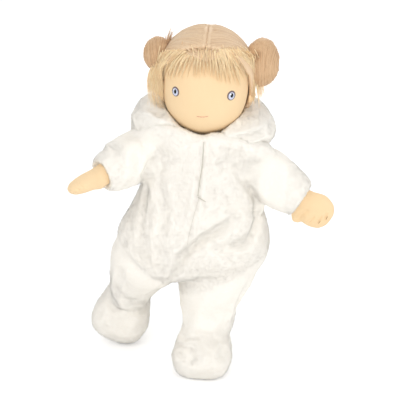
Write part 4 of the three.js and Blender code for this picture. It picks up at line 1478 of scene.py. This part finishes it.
# The fringe and side locks: root, middle and tip of each guiding lock, by the photograph's pixels
fringe = {
    "perGap": 58, "points": 12, "thickness": 0.36 * mm, "bunch": 0.9, "lengths": (0.75, 1.04),
    "wild": 0.16, "wildSpread": 2.2, "tameSpread": 0.55, "spreads": (1.1, 0.8, 1),
    "lift": 3.6 * mm, "lifts": (0.35, 1.0), "rootLift": 1.3 * mm, "tipLift": 0.7,
    "wave": 0.55 * mm, "waves": 9, "sparse": range(8, 12), "sparseShare": 0.4,
    "guides": [
        [(161, 58), (150, 74), (149, 93)],
        [(162, 56), (151, 72), (152, 104)],
        [(164, 55), (154, 75), (160, 109)],
        [(167, 53), (157, 73), (166, 102)],
        [(171, 52), (160, 69), (165, 90)],
        [(177, 51), (165, 65), (163, 83)],
        [(184, 51), (171, 64), (168, 80)],
        [(189, 50), (178, 65), (174, 79)],
        [(194, 49.5), (187, 65), (182, 78)],
        [(198, 49), (194.5, 64), (194, 79)],
        [(202, 49), (201, 64), (200, 80)],
        [(206, 49), (207, 64), (207.5, 77)],
        [(211, 49.5), (213, 65), (213.5, 81)],
        [(216, 50), (219, 66), (221, 84)],
        [(221, 50), (226, 66), (230, 85)],
        [(226, 50.5), (233, 65), (239, 86)],
        [(231, 51), (240, 66), (248, 85)],
        [(236, 51), (247, 62), (257, 82)],
        [(240, 51), (253, 60), (265, 82)],
        [(244, 52), (257, 63), (269, 88)],
        [(247, 53), (257, 72), (263, 98)],
        [(249, 56), (255, 78), (257, 107)],
        [(249, 60), (250, 82), (246, 106)],
    ],
}


# The place on the head or hair behind a pixel, or beside the head where the pixel misses it
def onHead(px, py):
    best = None
    for tree in (capTree, headTree):
        point, normal = seenAt(tree, px, py)
        if point is not None and (best is None or point.y < best.y):
            best = point
    if best is not None:
        return best
    ray = pixelRay(px, py)
    origin = Vector(camera["place"])
    return origin + ray * (headMiddle - origin).dot(ray) - headFront * 4 * mm


def makeFringe():
    guides = [[onHead(*pixel) for pixel in guide] for guide in fringe["guides"]]
    paths = []
    for gap, (left, right) in enumerate(zip(guides, guides[1:])):
        thin = fringe["sparseShare"] if gap in fringe["sparse"] else 1
        for index in range(round(fringe["perGap"] * thin)):
            share = seeds.random()
            phase = seeds.uniform(0, 2 * math.pi)
            across = (right[1] - left[1]).normalized() * fringe["wave"] * seeds.random()
            lock = round(share * 2) / 2
            lift = fringe["lift"] * seeds.uniform(*fringe["lifts"])
            short = seeds.uniform(*fringe["lengths"])
            wild = fringe["wildSpread"] if seeds.random() < fringe["wild"] else fringe["tameSpread"]
            wander = [Vector([seeds.gauss(0, wild) * mm for k in range(3)]) for end in range(3)]
            knots = []
            for step, (a, b) in enumerate(zip(left, right)):
                blend = share + (lock - share) * fringe["bunch"] * step / 2
                place = a.lerp(b, blend)
                away = (place - headMiddle).normalized()
                raised = away * (fringe["rootLift"], lift, lift * fringe["tipLift"])[step]
                knots.append(place + raised + wander[step] * fringe["spreads"][step])
            points = []
            for k in range(fringe["points"]):
                t = k / (fringe["points"] - 1) * short
                near = knots[0].lerp(knots[1], min(1, t * 2))
                far = knots[1].lerp(knots[2], max(0, t * 2 - 1))
                line = knots[0] * (1 - t) ** 2 + knots[1] * 2 * t * (1 - t) + knots[2] * t * t
                sharp = near if t < 0.5 else far
                wave = across * t * math.sin(phase + fringe["waves"] * t)
                points.append(line.lerp(sharp, 0.5) + wave)
            ends = [k / (fringe["points"] - 1) for k in range(fringe["points"])]
            widths = [max(0.12, 1 - 0.85 * end ** 1.5) for end in ends]
            paths.append((np.array(points), widths))
    # The fringe wears the lighter hair of painted light
    made = strandPiece("fringeHair", paths, fringe["thickness"], fringeHair, "head")
    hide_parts("fringe")


# A few ends that stick up from the bun on the doll's right, from a root to a tip by the photograph's pixels
tuft = {
    "root": (167, 44), "tip": (170.5, 31), "strands": 46, "points": 6,
    "spread": 1.5, "lengths": (0.5, 1.05), "thickness": 0.28 * mm,
}


def makeTuft():
    start = onHead(*tuft["root"])
    end = onHead(*tuft["tip"])
    last = tuft["points"] - 1
    paths = []
    for index in range(tuft["strands"]):
        spread = Vector([seeds.gauss(0, tuft["spread"]) * mm for k in range(3)])
        reach = seeds.uniform(*tuft["lengths"])
        line = [start + spread + (end - start + spread * 0.8) * reach * k / last for k in range(last + 1)]
        paths.append((np.array(line), [1 - 0.8 * k / last for k in range(last + 1)]))
    strandPiece("bunTuft", paths, tuft["thickness"], bunHair, "head")


makeFringe()
makeTuft()
print("hair ready")


# Ears and hands

# Small and inner pieces: voxel size, rounds of smoothing and levels of subdivision
softness = {
    "ear": (0.9 * mm, 5, 1), "hand": (1.5 * mm, 6, 1), "leg": (2.5 * mm, 4, 0),
    "gather": (1.5 * mm, 3, 0), "tie": (0.7 * mm, 2, 0), "trunk": (3 * mm, 4, 0),
    "neck": (1.4 * mm, 3, 0), "core": (2.5 * mm, 3, 0),
}


# A softened copy of a node, with the node's name unless another is given
def softCopy(source, kind, material, body, name=None):
    voxel, smoothing, levels = softness[kind]
    made = copyOf([source], name or pieceName(source))
    remesh(made, voxel)
    smooth(made, smoothing)
    if levels:
        subdivide(made, levels)
    paint(made, material)
    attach(made, body)
    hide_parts(source)
    return made


hands = {
    "left": {
        "wider": 0.30, "thinner": 0.18, "longer": 3.5 * mm,
        "thumb": 4.0 * mm, "thumbAt": (4, 13), "across": (-0.75, 0, -0.66),
    },
    "right": {
        "wider": 0.0, "thinner": 0.0, "longer": 1 * mm,
        "thumb": 2.2 * mm, "thumbAt": (6, 9), "across": (0.4, 0, -0.9),
    },
}
# The mitten begins this far before the cuff and has its full shape after this length
mitten = {"before": 8 * mm, "over": 16 * mm, "thumbReach": 5 * mm}
handFolds = {
    "left": [
        {"reach": 2.2, "depth": 1.3, "lip": 0.4, "path": [(317, 223), (320, 220), (322, 216)]},
        {"reach": 2.2, "depth": 1.3, "lip": 0.4, "path": [(324, 220), (326, 217), (327, 212)]},
        {"reach": 2.2, "depth": 1.0, "lip": 0.4, "path": [(309, 224), (312, 220), (315, 216)]},
        {"reach": 5, "depth": 1.6, "lip": 0.4, "path": [(297, 220), (303, 214), (309, 210)]},
    ],
    "right": [
        {"reach": 2, "depth": 0.9, "lip": 0.3, "path": [(74, 187), (79, 190), (83, 193)]},
        {"reach": 2, "depth": 0.9, "lip": 0.3, "path": [(78, 182), (83, 186), (88, 189)]},
    ],
}


# How far stuffed limbs are drawn in inside the cloth: up to this place along the limb, by this share
slimming = {
    "arm": {"beforeCuff": 12 * mm, "amount": 0.55},
    "leg": {"upTo": 66 * mm, "amount": 0.3},
    "fade": 10 * mm,
}


# Draws a limb in towards its line up to a place along it, so that it stays inside the moving cloth
def drawIn(points, shift, start, direction, end, amount):
    away = points - np.array(start)
    along = away @ np.array(direction)
    share = np.clip((end - along) / slimming["fade"], 0, 1)
    shift -= (away - np.outer(along, direction)) * (amount * share)[:, None]


# Spreads the hand into a mitten with a thumb, and marks the fingers
def shapeHand(piece, side):
    look = hands[side]
    points = pointsOf(piece)
    along, aside, direction, reach = alongSleeve(points, side)
    across = Vector(look["across"])
    across = (across - direction * across.dot(direction)).normalized()
    flat = direction.cross(across)
    away = points - np.array(shoulderAt[side])
    wide = away @ np.array(across)
    thick = away @ np.array(flat)
    share = eased(np.clip((along - reach + mitten["before"]) / mitten["over"], 0, 1))
    u, w = (value * mm for value in look["thumbAt"])
    thumb = np.exp(-((along - reach - u) / mitten["thumbReach"]) ** 2)
    thumb = thumb * np.clip(wide / w, 0, 1) ** 2 * look["thumb"]
    shift = np.outer(wide * look["wider"] * share + thumb, across)
    shift -= np.outer(thick * look["thinner"] * share, flat)
    shift += np.outer(look["longer"] * share, direction)
    slim = slimming["arm"]
    drawIn(points, shift, shoulderAt[side], direction, reach - slim["beforeCuff"], slim["amount"])
    placePoints(piece, points + shift)
    carveFolds(piece, handFolds[side])


def slimLeg(piece, side):
    slim = slimming["leg"]
    points = pointsOf(piece)
    shift = np.zeros(points.shape)
    drawIn(points, shift, hipAt[side], legLine(side), slim["upTo"], slim["amount"])
    placePoints(piece, points + shift)


wool = jerseyMaterial("woolStuffing", rgb(240, 232, 214), rgb(226, 214, 190), 500, 0.3 * mm, 0.4)
lining = jerseyMaterial("bodyJersey", rgb(250, 246, 238), rgb(244, 238, 227))
# Painted shade: the neck's jersey is a darker orange than the face's, for the neck in shadow under the chin
neckJersey = jerseyMaterial("neckJersey", rgb(236, 186, 130), rgb(222, 166, 108))
tape = jerseyMaterial("closureTape", rgb(250, 247, 240), rgb(238, 233, 222), 2200, 0.2 * mm)
tieThread = jerseyMaterial("tieThread", rgb(232, 204, 162), rgb(214, 180, 134), 2400, 0.2 * mm)

for side in sides:
    softCopy("ear_" + side, "ear", skinJersey, "head")
    arm, leg = "arm_" + side, "leg_" + side
    hand = softCopy(arm, "hand", skinJersey, arm, pieceName("hand_" + side))
    shapeHand(hand, side)
    inner = softCopy(leg, "leg", lining, leg, pieceName("stuffed_leg_" + side))
    slimLeg(inner, side)
    for joint in ("shoulder_", "hip_"):
        softCopy(joint + "gather_" + side, "gather", lining, joint + side)
    softCopy("bun_tie_" + side, "tie", bunHair, "head")
softCopy("torso_body", "trunk", lining, "torso", "stuffedTrunk")
# The neck wears the darker jersey of painted shade
softCopy("neck_stump", "neck", neckJersey, "neck", "neckSkin")
softCopy("head_core", "core", wool, "head", "headWool")
for name in ("closure_loop_strip", "closure_hook_strip"):
    wear(nodes[name], tape)
wear(nodes["neck_tie"], tieThread)
print("ears, hands and inner pieces ready")


# Seams

# Stitched lines that show: where each runs in the photograph, and its thickness. Their grey thread is
# painted shade along the placket's edge and the front seam.
seamLift = 0.9 * mm
seams = {
    "closureSeam": {
        "thickness": 0.35 * mm, "path": [(204, 142), (203.2, 155), (202.4, 168), (200, 182), (198, 196)],
    },
    "closureTack": {"thickness": 0.55 * mm, "path": [(198, 197), (201.5, 199), (205, 201.5)]},
    "centreSeam": {"thickness": 0.14 * mm, "path": [(199, 199), (195, 212), (191, 228), (187, 244)]},
}
# Finger marks: stitched lines in the carved finger grooves, coloured brown as painted shade in those
# creases
fingerMarks = {
    "thickness": 0.3 * mm, "lift": 0.05 * mm,
    "paths": [[(318.5, 223.5), (320.5, 221)], [(326, 219.5), (327.5, 216.5)]],
}


def seamPiece(name, path, thickness, tree, material, body, lift):
    spots = []
    for (x0, y0), (x1, y1) in zip(path, path[1:]):
        count = max(2, round(math.hypot(x1 - x0, y1 - y0) / 2))
        for k in range(count):
            t = k / count
            spots.append(seenAt(tree, x0 + (x1 - x0) * t, y0 + (y1 - y0) * t))
    spots.append(seenAt(tree, *path[-1]))
    spots = [point + normal * lift for point, normal in spots if point is not None]
    made = tubePiece(name, [(np.array(spots), np.ones(len(spots)))], thickness, 2)
    paint(made, material)
    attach(made, body)


# Painted shade: the seams' thread is greyer than the plush, for the shadow line along the placket and the
# front seam
seamThread = jerseyMaterial("seamThread", rgb(226, 221, 210), rgb(204, 198, 186), 2600, 0.15 * mm)
# Painted shade: the finger marks' thread is brown, darker than the hand, for the shade in the finger
# creases
markThread = jerseyMaterial("markThread", rgb(196, 160, 116), rgb(168, 130, 90), 2600, 0.15 * mm)
for name, look in seams.items():
    seamPiece(name, look["path"], look["thickness"], skinTree, seamThread, "torso", seamLift)
handTree = treeOf(bpy.data.objects["handLeft"])
for index, path in enumerate(fingerMarks["paths"]):
    name = "fingerMark" + str(index + 1)
    seamPiece(name, path, fingerMarks["thickness"], handTree, markThread, "arm_left", fingerMarks["lift"])
print("seams ready")
